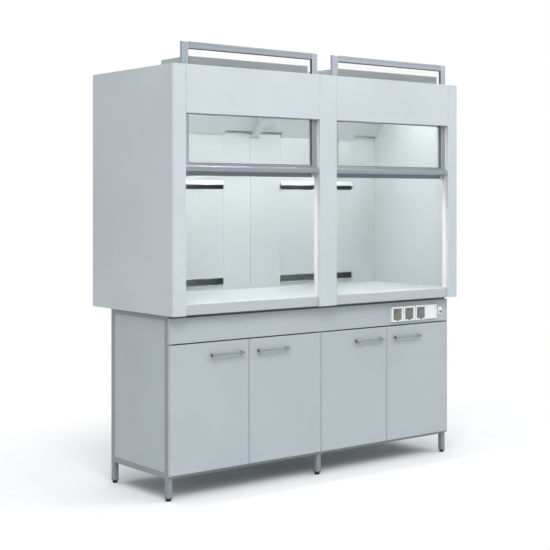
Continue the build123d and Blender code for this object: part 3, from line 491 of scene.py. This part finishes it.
def turned(name, rings, segments=32, axis="Z", place=(0, 0, 0)):
    """A turned part: a disc extruded along the axis through rings of (height, radius)."""
    start_clean()
    height, radius = rings[0]
    bpy.ops.mesh.primitive_circle_add(
        vertices=segments, radius=radius, fill_type="NGON", location=(0, 0, height)
    )
    piece = settle(bpy.context.object)
    piece.name = name
    bpy.ops.object.mode_set(mode="EDIT")
    bpy.ops.mesh.select_all(action="SELECT")
    for next_height, next_radius in rings[1:]:
        rise = {"value": (0, 0, next_height - height)}
        bpy.ops.mesh.extrude_region_move(TRANSFORM_OT_translate=rise)
        grow = next_radius / radius
        bpy.ops.transform.resize(value=(grow, grow, 1), center_override=(0, 0, next_height))
        height, radius = next_height, next_radius
    bpy.ops.mesh.select_all(action="SELECT")
    bpy.ops.mesh.normals_make_consistent(inside=False)
    bpy.ops.object.mode_set(mode="OBJECT")
    bpy.ops.object.shade_smooth_by_angle(angle=SMOOTH_ANGLE)
    piece.rotation_euler = TURNS[axis]
    piece.location = place
    return settle(piece)


def join(name, members):
    """One piece from many."""
    start_clean()
    for member in members:
        member.select_set(True)
    bpy.context.view_layer.objects.active = members[0]
    bpy.ops.object.join()
    members[0].name = name
    return members[0]


def dress(piece, finish, body="root", stands_for=()):
    """Gives a finished piece its material and the body that it rides on."""
    piece.data.materials.clear()
    piece.data.materials.append(finish)
    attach(piece, body)
    if stands_for:
        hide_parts(*stands_for)
    return piece


# %% [markdown]
# Sash frames and window frames
#
# A sash is four lengths of extruded aluminium, with the two upright stiles running its full height
# and the rails cut to fit between them. The joint shows as a fine line. Each bar is a box whose
# front and back get a shallow channel by an inset with depth, as the real profile has, and then a
# bevel, because a real extrusion has no knife edges. Separate bars also let the die lines follow
# the length of each one, and give the stiles a lighter tone than the rails, painted light for the
# stiles lit by the lamps in the chamber. A thin rubber ring closes the gap on either face of the
# pane.


# %% Sash and window frames
SHOULDER = 6 * MM
CHANNEL_DEPTH = 0.7 * MM
JOINT = 0.15 * MM


def channelled_bar(name, low, high):
    """A bar with a shallow channel along its front and back faces."""
    piece = box_between(name, low, high)
    pick_faces(piece, lambda face: abs(face.normal.y) > 0.9)
    bpy.ops.mesh.inset(thickness=SHOULDER, depth=-CHANNEL_DEPTH, use_individual=True)
    bpy.ops.object.mode_set(mode="OBJECT")
    return round_edges(piece, 0.8 * MM)


def glazed_frame(name, low, high, stile, rails, body, stands_for):
    """Two stiles and two rails round a pane; rails gives the heights of the lower and upper one."""
    lower, upper = rails
    stiles = [
        channelled_bar("stile", (start, low.y, low.z), (end, high.y, high.z))
        for start, end in ((low.x, low.x + stile), (high.x - stile, high.x))
    ]
    # The stiles take the lighter aluminium: painted light.
    uprights = dress(join(f"{name}_stiles", stiles), stile_lit_aluminium, body, stands_for)
    left, right = low.x + stile + JOINT, high.x - stile - JOINT
    bars = [
        channelled_bar("rail", (left, low.y, start), (right, high.y, end))
        for start, end in ((low.z, low.z + lower), (high.z - upper, high.z))
    ]
    crossbars = dress(join(f"{name}_rails", bars), rail_aluminium, body, stands_for)
    return uprights, crossbars


def glazing_seal(name, low, high, y_front, y_back, body, finish):
    """A soft ring that closes the gap between a pane and its frame."""
    seal = ring_between(name, (low.x, y_front, low.z), (high.x, y_back, high.z), 2.5 * MM)
    return dress(round_edges(seal, 0.4 * MM), finish, body)


STILE_WIDTH = 34.5 * MM
SASH_RAILS = (35 * MM, 30 * MM)
GLASS_BITE = 10 * MM
SASH_FRONT, SASH_BACK = -0.324, -0.310
SEAL_FRONT, SEAL_BACK = -0.3225, -0.3115
for side in SIDES:
    pane_low, pane_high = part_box(f"sash_glass_{side}")
    sash_low = Vector(
        (pane_low.x + GLASS_BITE - STILE_WIDTH, SASH_FRONT, pane_low.z + GLASS_BITE - SASH_RAILS[0])
    )
    sash_high = Vector(
        (pane_high.x - GLASS_BITE + STILE_WIDTH, SASH_BACK, pane_high.z - GLASS_BITE + SASH_RAILS[1])
    )
    body = f"sash_{side}"
    glazed_frame(body, sash_low, sash_high, STILE_WIDTH, SASH_RAILS, body, (f"sash_frame_{side}",))
    bite = Vector((GLASS_BITE, 0, GLASS_BITE))
    gaps = {"front": (SEAL_FRONT, pane_low.y), "back": (pane_high.y, SEAL_BACK)}
    for face, (front, back) in gaps.items():
        name = f"sash_seal_{face}_{side}"
        glazing_seal(name, pane_low + bite, pane_high - bite, front, back, body, seal_rubber)
print("sash from", sash_low, "to", sash_high)

# %% [markdown]
# Fixed windows and sash lugs
#
# Behind the raised sash a lower fixed window closes the upper part of each opening. Its frame is
# anodised in a darker tone, painted shade for where it sits in the shadow behind the sash; it is
# sealed with pale silicone, and the helpers of the sash draw it too. The sash hangs on two wires,
# and each wire ends in a lug on the stile that runs in the groove of the guide. A lug is cut from
# flat bar, so it is a plain box with rounded edges.

# %% Fixed windows and sash lugs
BAY_MIDDLE = 0.442
WINDOW_HALF = 0.397
WINDOW_STILE = 30 * MM
WINDOW_GAPS = {"front": (-0.3052, -0.302), "back": (-0.298, -0.2948)}
SASH_HALF = 0.3945
LUG_REACH = 10.5 * MM
LUG_FRONT, LUG_BACK = -0.320, -0.314
LUG_LOW, LUG_HIGH = 1.478, 1.498
window_parts = {"stiles": [], "rails": []}
frame_low, frame_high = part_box("window_frames")
border = Vector((WINDOW_STILE, 0, WINDOW_STILE))
for side, sign in SIDE_SIGNS.items():
    ends = sorted((sign * (BAY_MIDDLE - WINDOW_HALF), sign * (BAY_MIDDLE + WINDOW_HALF)))
    low = Vector((ends[0], frame_low.y, frame_low.z))
    high = Vector((ends[1], frame_high.y, frame_high.z))
    rails = (WINDOW_STILE, WINDOW_STILE)
    made = glazed_frame(f"window_{side}", low, high, WINDOW_STILE, rails, "root", ())
    window_parts["stiles"].append(made[0])
    window_parts["rails"].append(made[1])
    for face, (front, back) in WINDOW_GAPS.items():
        name = f"window_seal_{face}_{side}"
        glazing_seal(name, low + border, high - border, front, back, "root", pale_seal)
    lugs = []
    for out in (-1, 1):
        edge = sign * BAY_MIDDLE + out * SASH_HALF
        near, far = sorted((edge, edge + out * LUG_REACH))
        lug = box_between("lug", (near, LUG_FRONT, LUG_LOW), (far, LUG_BACK, LUG_HIGH))
        lugs.append(round_edges(lug, 1.0 * MM))
    dress(join(f"sash_lugs_{side}", lugs), zinc_steel, f"sash_{side}")
for part, members in window_parts.items():
    # The window frames take the darker aluminium: painted shade.
    dress(join(f"window_{part}", members), window_shaded_aluminium, "root", ("window_frames",))
print("window frames from", frame_low, "to", frame_high)

# %% [markdown]
# Sash pulls
#
# The pull is an extruded section screwed along the foot of the sash: a flat face, a wide slanted
# top edge that catches the light, and a channel underneath for the fingertips. A box gives all
# three: one edge is bevelled flat, the front corners are rounded, and the bottom face is inset and
# pushed up.


# %% Sash pulls
def pick_edges(piece, test):
    """Goes into edit mode with only the edges selected whose middle and direction pass the test."""
    shape = edit_piece(piece, "EDGE")
    for edge in shape.edges:
        ends = [corner.co for corner in edge.verts]
        edge.select_set(test((ends[0] + ends[1]) / 2, (ends[0] - ends[1]).normalized()))
    bmesh.update_edit_mesh(piece.data)


SLANT = 7 * MM
CORNER = 3 * MM
PULL_WALL = 3 * MM
FINGER_ROOM = 20 * MM
for side in SIDES:
    low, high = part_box(f"sash_pull_{side}")
    pull = box_between(f"pull_{side}", low, high)
    near, top = low.y + MM, high.z - MM
    pick_edges(pull, lambda middle, along: abs(along.x) > 0.9 and middle.y < near and middle.z > top)
    bpy.ops.mesh.bevel(offset=SLANT, segments=1)
    bpy.ops.object.mode_set(mode="OBJECT")
    pick_edges(pull, lambda middle, along: abs(along.z) > 0.9 and middle.y < near)
    bpy.ops.mesh.bevel(offset=CORNER, segments=4)
    bpy.ops.object.mode_set(mode="OBJECT")
    pick_faces(pull, lambda face: face.normal.z < -0.9)
    bpy.ops.mesh.inset(thickness=PULL_WALL, depth=0)
    bpy.ops.mesh.extrude_region_move(TRANSFORM_OT_translate={"value": (0, 0, FINGER_ROOM)})
    bpy.ops.object.mode_set(mode="OBJECT")
    dress(round_edges(pull, 0.5 * MM), rail_aluminium, f"sash_{side}", (f"sash_pull_{side}",))
print("pull section", high - low)

# %% [markdown]
# Wire ropes
#
# Each sash hangs on two galvanised wire ropes, and a third one in the side of the case carries the
# counterweight. A rope is strands laid in a helix. The screw modifier turns and lifts a profile at
# the same time, so three small circles become three strands in one step. A ferrule is pressed on
# the foot of each rope of a sash. The ropes stretch between the shaft and what hangs on them.


# %% Wire ropes
ROPE_RADIUS = 1.0 * MM
ROPE_LAY = 12 * MM
STRANDS = 3


def wire_rope(name, x, y, low, high):
    """Laid strands from height low to height high."""
    strands = []
    off_centre = ROPE_RADIUS * 0.48
    for number in range(STRANDS):
        angle = math.tau * number / STRANDS
        start_clean()
        bpy.ops.mesh.primitive_circle_add(
            vertices=6, radius=ROPE_RADIUS * 0.52,
            location=(off_centre * math.cos(angle), off_centre * math.sin(angle), 0),
        )
        strands.append(settle(bpy.context.object))
    rope = join(name, strands)
    turns = (high - low) / ROPE_LAY
    laid = rope.modifiers.new("lay", "SCREW")
    laid.angle = math.tau * turns
    laid.screw_offset = high - low
    laid.steps = laid.render_steps = round(turns * 6)
    bpy.ops.object.modifier_apply(modifier=laid.name)
    bpy.ops.object.mode_set(mode="EDIT")
    bpy.ops.mesh.select_all(action="SELECT")
    bpy.ops.mesh.fill_holes(sides=0)
    bpy.ops.mesh.normals_make_consistent(inside=False)
    bpy.ops.object.mode_set(mode="OBJECT")
    bpy.ops.object.shade_smooth_by_angle(angle=math.radians(60))
    rope.location = (x, y, low)
    return settle(rope)


SHAFT_HEIGHT = 1.915


def hang(rope, node):
    """A rope that stretches between the shaft and a body, in place of a node of the frame."""
    rope.data.materials.append(rope_steel)
    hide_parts(node)
    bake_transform(rope)


SASH_ROPES = {"inner": 0.040, "outer": 0.844}
SASH_ROPE_Y = -0.317
FERRULE_FOOT = 1.490
SWAGE = [(0, 2.0), (0.4, 2.4), (13.6, 2.4), (14, 2.0), (14, 1.2)]
WEIGHT_ROPE_X, WEIGHT_ROPE_Y, WEIGHT_ROPE_FOOT = 0.886, -0.277, 1.291
for side, sign in SIDE_SIGNS.items():
    for spot, x in SASH_ROPES.items():
        name = f"sash_rope_{spot}_{side}"
        rope = wire_rope(name, sign * x, SASH_ROPE_Y, LUG_HIGH, SHAFT_HEIGHT)
        hang(rope, f"sash_cables_{side}")
        name = f"rope_ferrule_{spot}_{side}"
        place = (sign * x, SASH_ROPE_Y, FERRULE_FOOT)
        ferrule = turned(name, rings_in_mm(SWAGE), segments=16, place=place)
        dress(ferrule, zinc_steel, f"sash_{side}")
    name = f"weight_rope_{side}"
    rope = wire_rope(name, sign * WEIGHT_ROPE_X, WEIGHT_ROPE_Y, WEIGHT_ROPE_FOOT, SHAFT_HEIGHT)
    hang(rope, f"weight_cable_{side}")
print("rope faces", len(rope.data.polygons))

# %% [markdown]
# Door handles
#
# Each door has a bar handle turned from stainless steel: a slim bar between two thick collars, with
# a fine groove at the inner end of each collar and a black plug in each open end. Two posts with a
# round foot carry it. On a lathe a part is a list of diameters along its axis, and that is how it
# is drawn here: a disc is extruded and scaled from ring to ring.

# %% Door handles
COLLAR = [
    (1, 5.2), (0, 5.2), (0, 6.7), (0.8, 7.5), (20.4, 7.5), (20.8, 7.0), (21.4, 7.0), (21.8, 7.5),
    (23.2, 7.5), (24, 6.7), (24, 5.0),
]
POST = [(0, 7.5), (2.4, 7.5), (3, 6.9), (3, 5.5), (3.5, 5.0), (19, 5.0), (19.5, 4.6)]
PLUG = [(1.2, 5.1), (0.4, 5.1), (0.1, 4.7)]
HANDLE_Y = -0.316
DOOR_FRONT = -0.295
POST_INSET = 12 * MM
for number in DOORS:
    low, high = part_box(f"door_handle_{number}")
    length = high.x - low.x
    z = (low.z + high.z) / 2
    ahead = rings_in_mm(COLLAR)
    rings = ahead + [(length - height, radius) for height, radius in reversed(ahead)]
    members = [turned(f"bar_{number}", rings, axis="X", place=(low.x, HANDLE_Y, z))]
    for x in (low.x + POST_INSET, high.x - POST_INSET):
        rings = rings_in_mm(POST)
        members.append(turned(f"post_{number}", rings, axis="Y", place=(x, DOOR_FRONT, z)))
    handle = join(f"handle_{number}", members)
    dress(handle, handle_steel, f"door_{number}", (f"door_handle_{number}",))
    plugs = []
    for x, step in ((low.x, 1), (high.x, -1)):
        rings = [(step * height, radius) for height, radius in rings_in_mm(PLUG)]
        plugs.append(turned("plug", rings, segments=24, axis="X", place=(x, HANDLE_Y, z)))
    dress(join(f"handle_plugs_{number}", plugs), black_rubber, f"door_{number}")
print("handle length", length)

# %% [markdown]
# Levelling feet
#
# Every leg ends in a levelling foot: a black moulded disc with a rubber sole, and a threaded stem
# with a lock nut that screws up into the plug of the leg. The thread is drawn as plain rings at its
# real pitch, because a helix would look the same at this size. The nut is a turned part with six
# sides.

# %% Levelling feet
DISC = [
    (0, 10.4), (0.6, 11.6), (2.0, 12.0), (2.2, 11.6), (2.6, 11.6), (2.8, 12.0), (6.5, 12.0),
    (7.9, 11.4), (8.5, 10.0), (8.5, 6.0),
]
NUT = [(8.5, 6.2), (8.8, 7.0), (10.5, 7.0), (10.8, 6.2)]
CREST = [(8.3, 3.5), (8.6, 4.0), (8.9, 4.0), (9.2, 3.5)]
PITCH = 1.25
FOOT_COLUMNS = (-0.8675, 0.0, 0.8675)
FOOT_ROWS = (-0.2645, 0.1955)
thread = [(8.0, 3.5)]
for turn in range(12):
    thread += [(height + turn * PITCH, radius) for height, radius in CREST]
discs, nuts, stems = [], [], []
for x in FOOT_COLUMNS:
    for y in FOOT_ROWS:
        for group, rings, segments in ((discs, DISC, 40), (nuts, NUT, 6), (stems, thread, 20)):
            group.append(turned("foot_part", rings_in_mm(rings), segments, place=(x, y, 0)))
print("feet:", len(discs))
dress(join("foot_discs", discs), black_rubber, stands_for=("levelling_feet",))
dress(join("foot_nuts", nuts), zinc_steel)
dress(join("foot_stems", stems), screw_steel)

# %% [markdown]
# Stand tubes with rounded edges
#
# Square steel tube is rolled, so its edges are round, with a radius of about its wall. The frame's
# copy of the stand has sharp ones. A copy of that mesh has its doubled corners merged and its
# triangles dissolved back into flat faces, and then a bevel modifier can round what is left.


# %% Stand tubes
MERGE_DISTANCE = 0.01 * MM


def merged_copy(node, name):
    """A copy of a node of the frame with doubled corners and split flat faces merged."""
    piece = own_copy(nodes[node])
    piece.parent = None
    piece.name = name
    take_hold(piece)
    if piece.data.has_custom_normals:
        bpy.ops.mesh.customdata_custom_splitnormals_clear()
    bpy.ops.object.mode_set(mode="EDIT")
    bpy.ops.mesh.select_all(action="SELECT")
    bpy.ops.mesh.remove_doubles(threshold=MERGE_DISTANCE)
    bpy.ops.mesh.dissolve_limited(angle_limit=math.radians(0.5))
    bpy.ops.object.mode_set(mode="OBJECT")
    return piece


stand = merged_copy("base_frame", "stand_tubes")
soft = stand.modifiers.new("rolled_edges", "BEVEL")
soft.width = 1.2 * MM
soft.segments = 3
soft.limit_method = "ANGLE"
soft.angle_limit = math.radians(50)
soft.use_clamp_overlap = False
bpy.ops.object.modifier_apply(modifier=soft.name)
bpy.ops.object.shade_smooth_by_angle(angle=SMOOTH_ANGLE)
dress(stand, stand_coat, stands_for=("base_frame",))
print("stand faces", len(stand.data.polygons))

# %% [markdown]
# Screws
#
# Sheet metal is held by screws with a low domed head and a cross recess. One screw is turned, its
# cross is cut by two crossed bars with a boolean modifier, and then it is copied to every hole. A
# screw's head looks along +Z, so each copy is turned to face out of its panel.


# %% Screws
def cut_away(piece, cutter):
    """Takes a cutter out of a piece with a boolean modifier, and removes the cutter."""
    take_hold(piece)
    cut = piece.modifiers.new("cut", "BOOLEAN")
    cut.object = cutter
    cut.operation = "DIFFERENCE"
    bpy.ops.object.modifier_apply(modifier=cut.name)
    bpy.data.objects.remove(cutter)


def cut_cross(head, top, depth, reach):
    """Cuts a cross recess into the top of a screw head."""
    half, below, above = 0.5 * MM, top - depth, top + MM
    for x, y in ((reach, half), (half, reach)):
        cut_away(head, box_between("bar", (-x, -y, below), (x, y, above)))
    return head


FACING = {
    "up": Matrix.Identity(4),
    "front": Matrix.Rotation(math.pi / 2, 4, "X"),
    "back": Matrix.Rotation(-math.pi / 2, 4, "X"),
}


def scatter(master, name, places, facing):
    """Copies of a master at many places, each with its own mesh, joined into one piece."""
    twins = []
    for place in places:
        twin = own_copy(master)
        twin.data.transform(Matrix.Translation(place) @ FACING[facing])
        twins.append(twin)
    return join(name, twins)


PAN_HEAD = [(0, 3.6), (0.4, 4.0), (1.1, 3.9), (1.7, 3.3), (2.1, 2.3), (2.25, 1.2)]
FLAT_HEAD = [(-1.2, 2.0), (-0.1, 3.9), (0, 3.9)]
pan_screw = turned("pan_screw", rings_in_mm(PAN_HEAD), segments=20)
cut_cross(pan_screw, top=2.25 * MM, depth=1.1 * MM, reach=1.9 * MM)
flat_screw = turned("flat_screw", rings_in_mm(FLAT_HEAD), segments=20)
cut_cross(flat_screw, top=0, depth=0.8 * MM, reach=2.2 * MM)
masters = [pan_screw, flat_screw]
print("faces of a screw:", len(pan_screw.data.polygons))

# %% [markdown]
# Rear panel
#
# The back of the case is one large sheet. Nothing may stand behind it, because a hood is pushed
# against a wall, so its screws are countersunk: each sits in a cone sunk into the sheet. A row of
# cones is joined into one cutter and taken out of a copy of the panel. The shading is smoothed only
# up to 20 degrees, so that the shallow cones don't drag their shade over the flat sheet.

# %% Rear panel
COUNTERSINK = [(-2.5, 2.1), (-1.3, 2.1), (0.2, 4.2), (1.0, 4.2)]
FIRST_COLUMN, COLUMN_STEP = -0.885, 0.2212
rear_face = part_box("rear_panel")[1].y
columns = [FIRST_COLUMN + COLUMN_STEP * step for step in range(9)]
rows = [0.845, 1.12, 1.39, 1.66, 1.932]
holes = [(x, rear_face, z) for z in (rows[0], rows[-1]) for x in columns]
holes += [(x, rear_face, z) for z in rows[1:-1] for x in (columns[0], 0.0, columns[-1])]
cone = turned("cone", rings_in_mm(COUNTERSINK), segments=20)
cutter = scatter(cone, "cutter", holes, "back")
masters.append(cone)
panel = merged_copy("rear_panel", "rear_sheet")
cut_away(panel, cutter)
bpy.ops.object.shade_smooth_by_angle(angle=math.radians(20))
dress(panel, case_coat, stands_for=("rear_panel",))
sunk = [(x, y - 0.1 * MM, z) for x, y, z in holes]
dress(scatter(flat_screw, "rear_screws", sunk, "back"), screw_steel)
print("countersunk screws:", len(holes))

# %% [markdown]
# Roof fittings
#
# On the roof stand the two lamp housings and the two exhaust collars. Each lamp housing has a grey
# front strip, darker than the housing: painted shade for the dark band that shows behind the raised
# sash. Screws stand round the housing's foot. Each collar is screwed down through its flange and
# sealed with a bead of silicone, which is a small circle spun round the collar's axis.


# %% Roof fittings
def spun_ring(name, profile, ring, place):
    """A ring of round section: a small circle spun once round the Z axis, then put in place."""
    start_clean()
    bpy.ops.mesh.primitive_circle_add(
        vertices=8, radius=profile, location=(ring, 0, 0), rotation=(math.radians(90), 0, 0)
    )
    piece = settle(bpy.context.object)
    piece.name = name
    bpy.ops.object.mode_set(mode="EDIT")
    bpy.ops.mesh.select_all(action="SELECT")
    bpy.ops.mesh.spin(steps=72, angle=math.tau, center=(0, 0, 0), axis=(0, 0, 1))
    bpy.ops.mesh.select_all(action="SELECT")
    bpy.ops.mesh.remove_doubles(threshold=MERGE_DISTANCE)
    bpy.ops.mesh.normals_make_consistent(inside=False)
    bpy.ops.object.mode_set(mode="OBJECT")
    bpy.ops.object.shade_smooth()
    piece.location = place
    return settle(piece)


ROOF = 1.946
COLLAR_Y = 0.206
FLANGE = 1.5 * MM
SCREW_CIRCLE = 108 * MM
LAMP_ENDS = (0.095, 0.789)
STRIP_FRONT, STRIP_BACK, STRIP_TOP = -0.3058, -0.3048, 1.9875
LAMP_TOP = 1.989
LAMP_SCREW_ROWS = (-0.285, -0.103)
LAMP_SCREW_INSET = 0.02
EDGE_COLUMNS, EDGE_ROWS = (0.03, 0.86), (-0.02, 0.33)
beads, flange_screws, roof_screws, shade_strips = [], [], [], []
for sign in SIDE_SIGNS.values():
    collar = Vector((sign * BAY_MIDDLE, COLLAR_Y, ROOF))
    beads.append(spun_ring("bead", 1.6 * MM, 117.6 * MM, collar))
    beads.append(spun_ring("bead", 1.4 * MM, 99.8 * MM, collar + Vector((0, 0, FLANGE))))
    for step in range(8):
        angle = math.tau * (step + 0.5) / 8
        across, along = SCREW_CIRCLE * math.cos(angle), SCREW_CIRCLE * math.sin(angle)
        flange_screws.append(collar + Vector((across, along, FLANGE)))
    near, far = sorted(sign * end for end in LAMP_ENDS)
    # The strip's darker grey is painted shade on the front of the housing.
    strip = box_between(
        "strip", (near + 2 * MM, STRIP_FRONT, ROOF + FLANGE), (far - 2 * MM, STRIP_BACK, STRIP_TOP)
    )
    pick_faces(strip, lambda face: face.normal.y < -0.9)
    bpy.ops.mesh.inset(thickness=3 * MM, depth=-0.3 * MM)
    bpy.ops.object.mode_set(mode="OBJECT")
    shade_strips.append(round_edges(strip, 0.25 * MM))
    for x in (near + LAMP_SCREW_INSET, sign * BAY_MIDDLE, far - LAMP_SCREW_INSET):
        roof_screws += [(x, y, LAMP_TOP) for y in LAMP_SCREW_ROWS]
dress(join("collar_sealant", beads), pale_seal)
dress(join("lamp_painted_shade_strips", shade_strips), lamp_front_shade_coat)
dress(scatter(pan_screw, "collar_screws", flange_screws, "up"), screw_steel)
roof_screws += [
    (sign * x, y, ROOF) for sign in SIDE_SIGNS.values() for x in EDGE_COLUMNS for y in EDGE_ROWS
]
dress(scatter(pan_screw, "roof_screws", roof_screws, "up"), screw_steel)
print("roof screws:", len(flange_screws) + len(roof_screws))

# %% [markdown]
# Inside the sockets
#
# Under each tinted lid is a round recess with two brass contact tubes and two sprung earth clips,
# held by one screw in the middle. They show faintly through the lid and plainly when it is lifted.
# A contact is turned as a cup, so that the pin of a plug would fit in. A clip is a strip whose
# middle is raised towards the plug by an inset.

# %% Inside the sockets
CUP = [(3.0, 2.4), (0.4, 2.4), (0.2, 2.2), (0.2, 1.8), (0.5, 1.7), (2.6, 1.7)]
RECESS_FLOOR, CLIP_TIP = -0.2805, -0.2955
SOCKET_HEIGHT = 0.756
CONTACT_OFFSET = 9.5 * MM
CLIP_NEAR, CLIP_FAR, CLIP_HALF = 17.8 * MM, 18.8 * MM, 4 * MM
cup = turned("cup", [(-height, radius) for height, radius in rings_in_mm(CUP)], segments=20)
masters.append(cup)
lids = [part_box(f"socket_lid_{number}") for number in LIDS]
middles = [(low.x + high.x) / 2 for low, high in lids]
contacts = [
    (x + step * CONTACT_OFFSET, RECESS_FLOOR, SOCKET_HEIGHT) for x in middles for step in (-1, 1)
]
dress(scatter(cup, "socket_contacts", contacts, "front"), contact_brass)
clips = []
for x in middles:
    for up in (-1, 1):
        foot, head = sorted((SOCKET_HEIGHT + up * CLIP_NEAR, SOCKET_HEIGHT + up * CLIP_FAR))
        clip = box_between(
            "clip", (x - CLIP_HALF, CLIP_TIP, foot), (x + CLIP_HALF, RECESS_FLOOR, head)
        )
        pick_faces(clip, lambda face: face.normal.z * up < -0.9)
        bpy.ops.mesh.inset(thickness=2 * MM, depth=1.2 * MM)
        bpy.ops.object.mode_set(mode="OBJECT")
        clips.append(round_edges(clip, 0.2 * MM))
dress(join("socket_earth_clips", clips), contact_brass)
centres = [(x, RECESS_FLOOR, SOCKET_HEIGHT) for x in middles]
dress(scatter(pan_screw, "socket_screws", centres, "front"), screw_steel)
print("contacts:", len(contacts), "middles:", middles)

# %% [markdown]
# Screws inside the doors
#
# The posts of a handle are screwed on from inside the door. The heads show when a door stands open,
# so copies of the same screw look out of the inner face of each door and ride on it. After that the
# masters have done their work and are removed.

# %% Screws inside the doors
DOOR_INSIDE = -0.2938
for number in DOORS:
    low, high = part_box(f"door_handle_{number}")
    z = (low.z + high.z) / 2
    spots = [(x, DOOR_INSIDE, z) for x in (low.x + POST_INSET, high.x - POST_INSET)]
    dress(scatter(pan_screw, f"door_screws_{number}", spots, "back"), screw_steel, f"door_{number}")
for master in masters:
    bpy.data.objects.remove(master)
print("screws of a door:", len(spots))

# %% [markdown]
# Floor
#
# The hood stands in a plain pale studio. The floor is white for the camera and for reflections, and
# keeps the hood's shadow. For all other light it is a dimmer grey, so that the foot of the hood
# isn't lit from below. Past the hood it fades into the white of the world, so that no horizon
# shows.

# %% Floor
bpy.ops.object.select_all(action="DESELECT")
bpy.ops.mesh.primitive_plane_add(size=60, location=(0, 0, 0))
floor = bpy.context.object
floor.name = "studio_floor"
floor_white, tree, shader = new_material("studio_floor_white", roughness=0.9)
tree.links.new(
    two_tones(tree, noise(tree, (0.3, 0.3, 0.3)), "f0f1f1", "f2f3f3"), shader.inputs["Base Color"]
)
ray = add_node(tree, "ShaderNodeLightPath")
seen = add_node(
    tree, "ShaderNodeMath", links={0: ray.outputs["Is Camera Ray"], 1: ray.outputs["Is Glossy Ray"]},
    operation="MAXIMUM",
)
dim = add_node(tree, "ShaderNodeBsdfDiffuse", {"Color": linear("c6c8c9")})
near = add_node(
    tree, "ShaderNodeMixShader",
    links={0: seen.outputs["Value"], 1: dim.outputs["BSDF"], 2: shader.outputs["BSDF"]},
)
reach = add_node(
    tree, "ShaderNodeVectorMath", links={0: object_pattern(tree, (1.4, 1.0, 1.0))},
    operation="LENGTH",
)
far = add_node(
    tree, "ShaderNodeMapRange", {"From Min": 0.95, "From Max": 1.9, "To Min": 0.0, "To Max": 1.0},
    {"Value": reach.outputs["Value"]}, interpolation_type="SMOOTHSTEP",
)
fade = add_node(
    tree, "ShaderNodeMath", links={0: seen.outputs["Value"], 1: far.outputs["Result"]},
    operation="MULTIPLY",
)
white = add_node(tree, "ShaderNodeEmission", {"Color": (1, 1, 1, 1), "Strength": 1.0})
blend = add_node(
    tree, "ShaderNodeMixShader",
    links={0: fade.outputs["Value"], 1: near.outputs["Shader"], 2: white.outputs["Emission"]},
)
tree.links.new(blend.outputs["Shader"], tree.nodes["Material Output"].inputs["Surface"])
floor.data.materials.append(floor_white)
print("floor:", floor_white.name, "nodes:", len(tree.nodes))

# %% [markdown]
# World
#
# The world fills the shadows with a soft, slightly cool white. The camera, also where it looks
# through glass, sees it as pure white instead, like the paper behind a product photograph.

# %% World
world = bpy.data.worlds.new("studio_world")
bpy.context.scene.world = world
world.use_nodes = True
tree = world.node_tree
tree.nodes.clear()
ray = add_node(tree, "ShaderNodeLightPath")
seen = add_node(
    tree, "ShaderNodeMath",
    links={0: ray.outputs["Is Camera Ray"], 1: ray.outputs["Is Transmission Ray"]},
    operation="MAXIMUM",
)
soft = add_node(tree, "ShaderNodeBackground", {"Color": linear("eef3f6"), "Strength": 0.60})
white = add_node(tree, "ShaderNodeBackground", {"Color": (1, 1, 1, 1), "Strength": 1.0})
both = add_node(
    tree, "ShaderNodeMixShader",
    links={0: seen.outputs["Value"], 1: soft.outputs["Background"], 2: white.outputs["Background"]},
)
add_node(tree, "ShaderNodeOutputWorld", links={"Surface": both.outputs["Shader"]})
print("world strength:", soft.inputs["Strength"].default_value)

# %% [markdown]
# Lights
#
# Three soft boxes light the hood. A wide one at the upper left front gives the shading of its
# faces, a weaker one at the right opens the shadows, and one above lights the roof and the collars.
# Large lamps a few metres away keep the edges of the shadows soft, as in a room.


# %% Lights
def soft_box(name, place, target, size, power):
    """A square area lamp that faces a target."""
    bpy.ops.object.light_add(type="AREA", location=place)
    lamp = bpy.context.object
    lamp.name = name
    lamp.rotation_euler = (Vector(target) - Vector(place)).to_track_quat("-Z", "Y").to_euler()
    lamp.data.size = size
    lamp.data.energy = power
    distance = (Vector(target) - Vector(place)).length
    print(name, "stands", round(distance, 2), "m from its target")


soft_box("key_light", (-2.9, -4.2, 5.2), target=(0, 0, 1.1), size=3.4, power=228)
soft_box("fill_light", (4.2, -3.4, 4.4), target=(0, 0, 1.1), size=3.5, power=95)
soft_box("top_light", (0, 0.4, 5.0), target=(0, 0, 1.0), size=4.0, power=120)

# %% [markdown]
# Camera
#
# The uprights of the hood look parallel in the picture, so the camera is held level, and its lens
# is shifted down instead of being tilted. It looks from the left front, at chest height. The
# Standard view transform shows colours as they are written.

# %% Camera
CAMERA_PLACE = (-3.8878, -4.8613, 1.3547)
CAMERA_TURN = 38.26
LENS = 80.44
SHIFT = -0.1411
level_turn = (math.radians(90), 0, -math.radians(CAMERA_TURN))
bpy.ops.object.camera_add(location=CAMERA_PLACE, rotation=level_turn)
camera = bpy.context.object
camera.data.sensor_width = 36
camera.data.lens = LENS
camera.data.shift_y = SHIFT
bpy.context.scene.camera = camera

view_settings = bpy.context.scene.view_settings
view_settings.view_transform = "Standard"
print("camera:", LENS, "mm lens,", CAMERA_PLACE[2], "m above the floor")
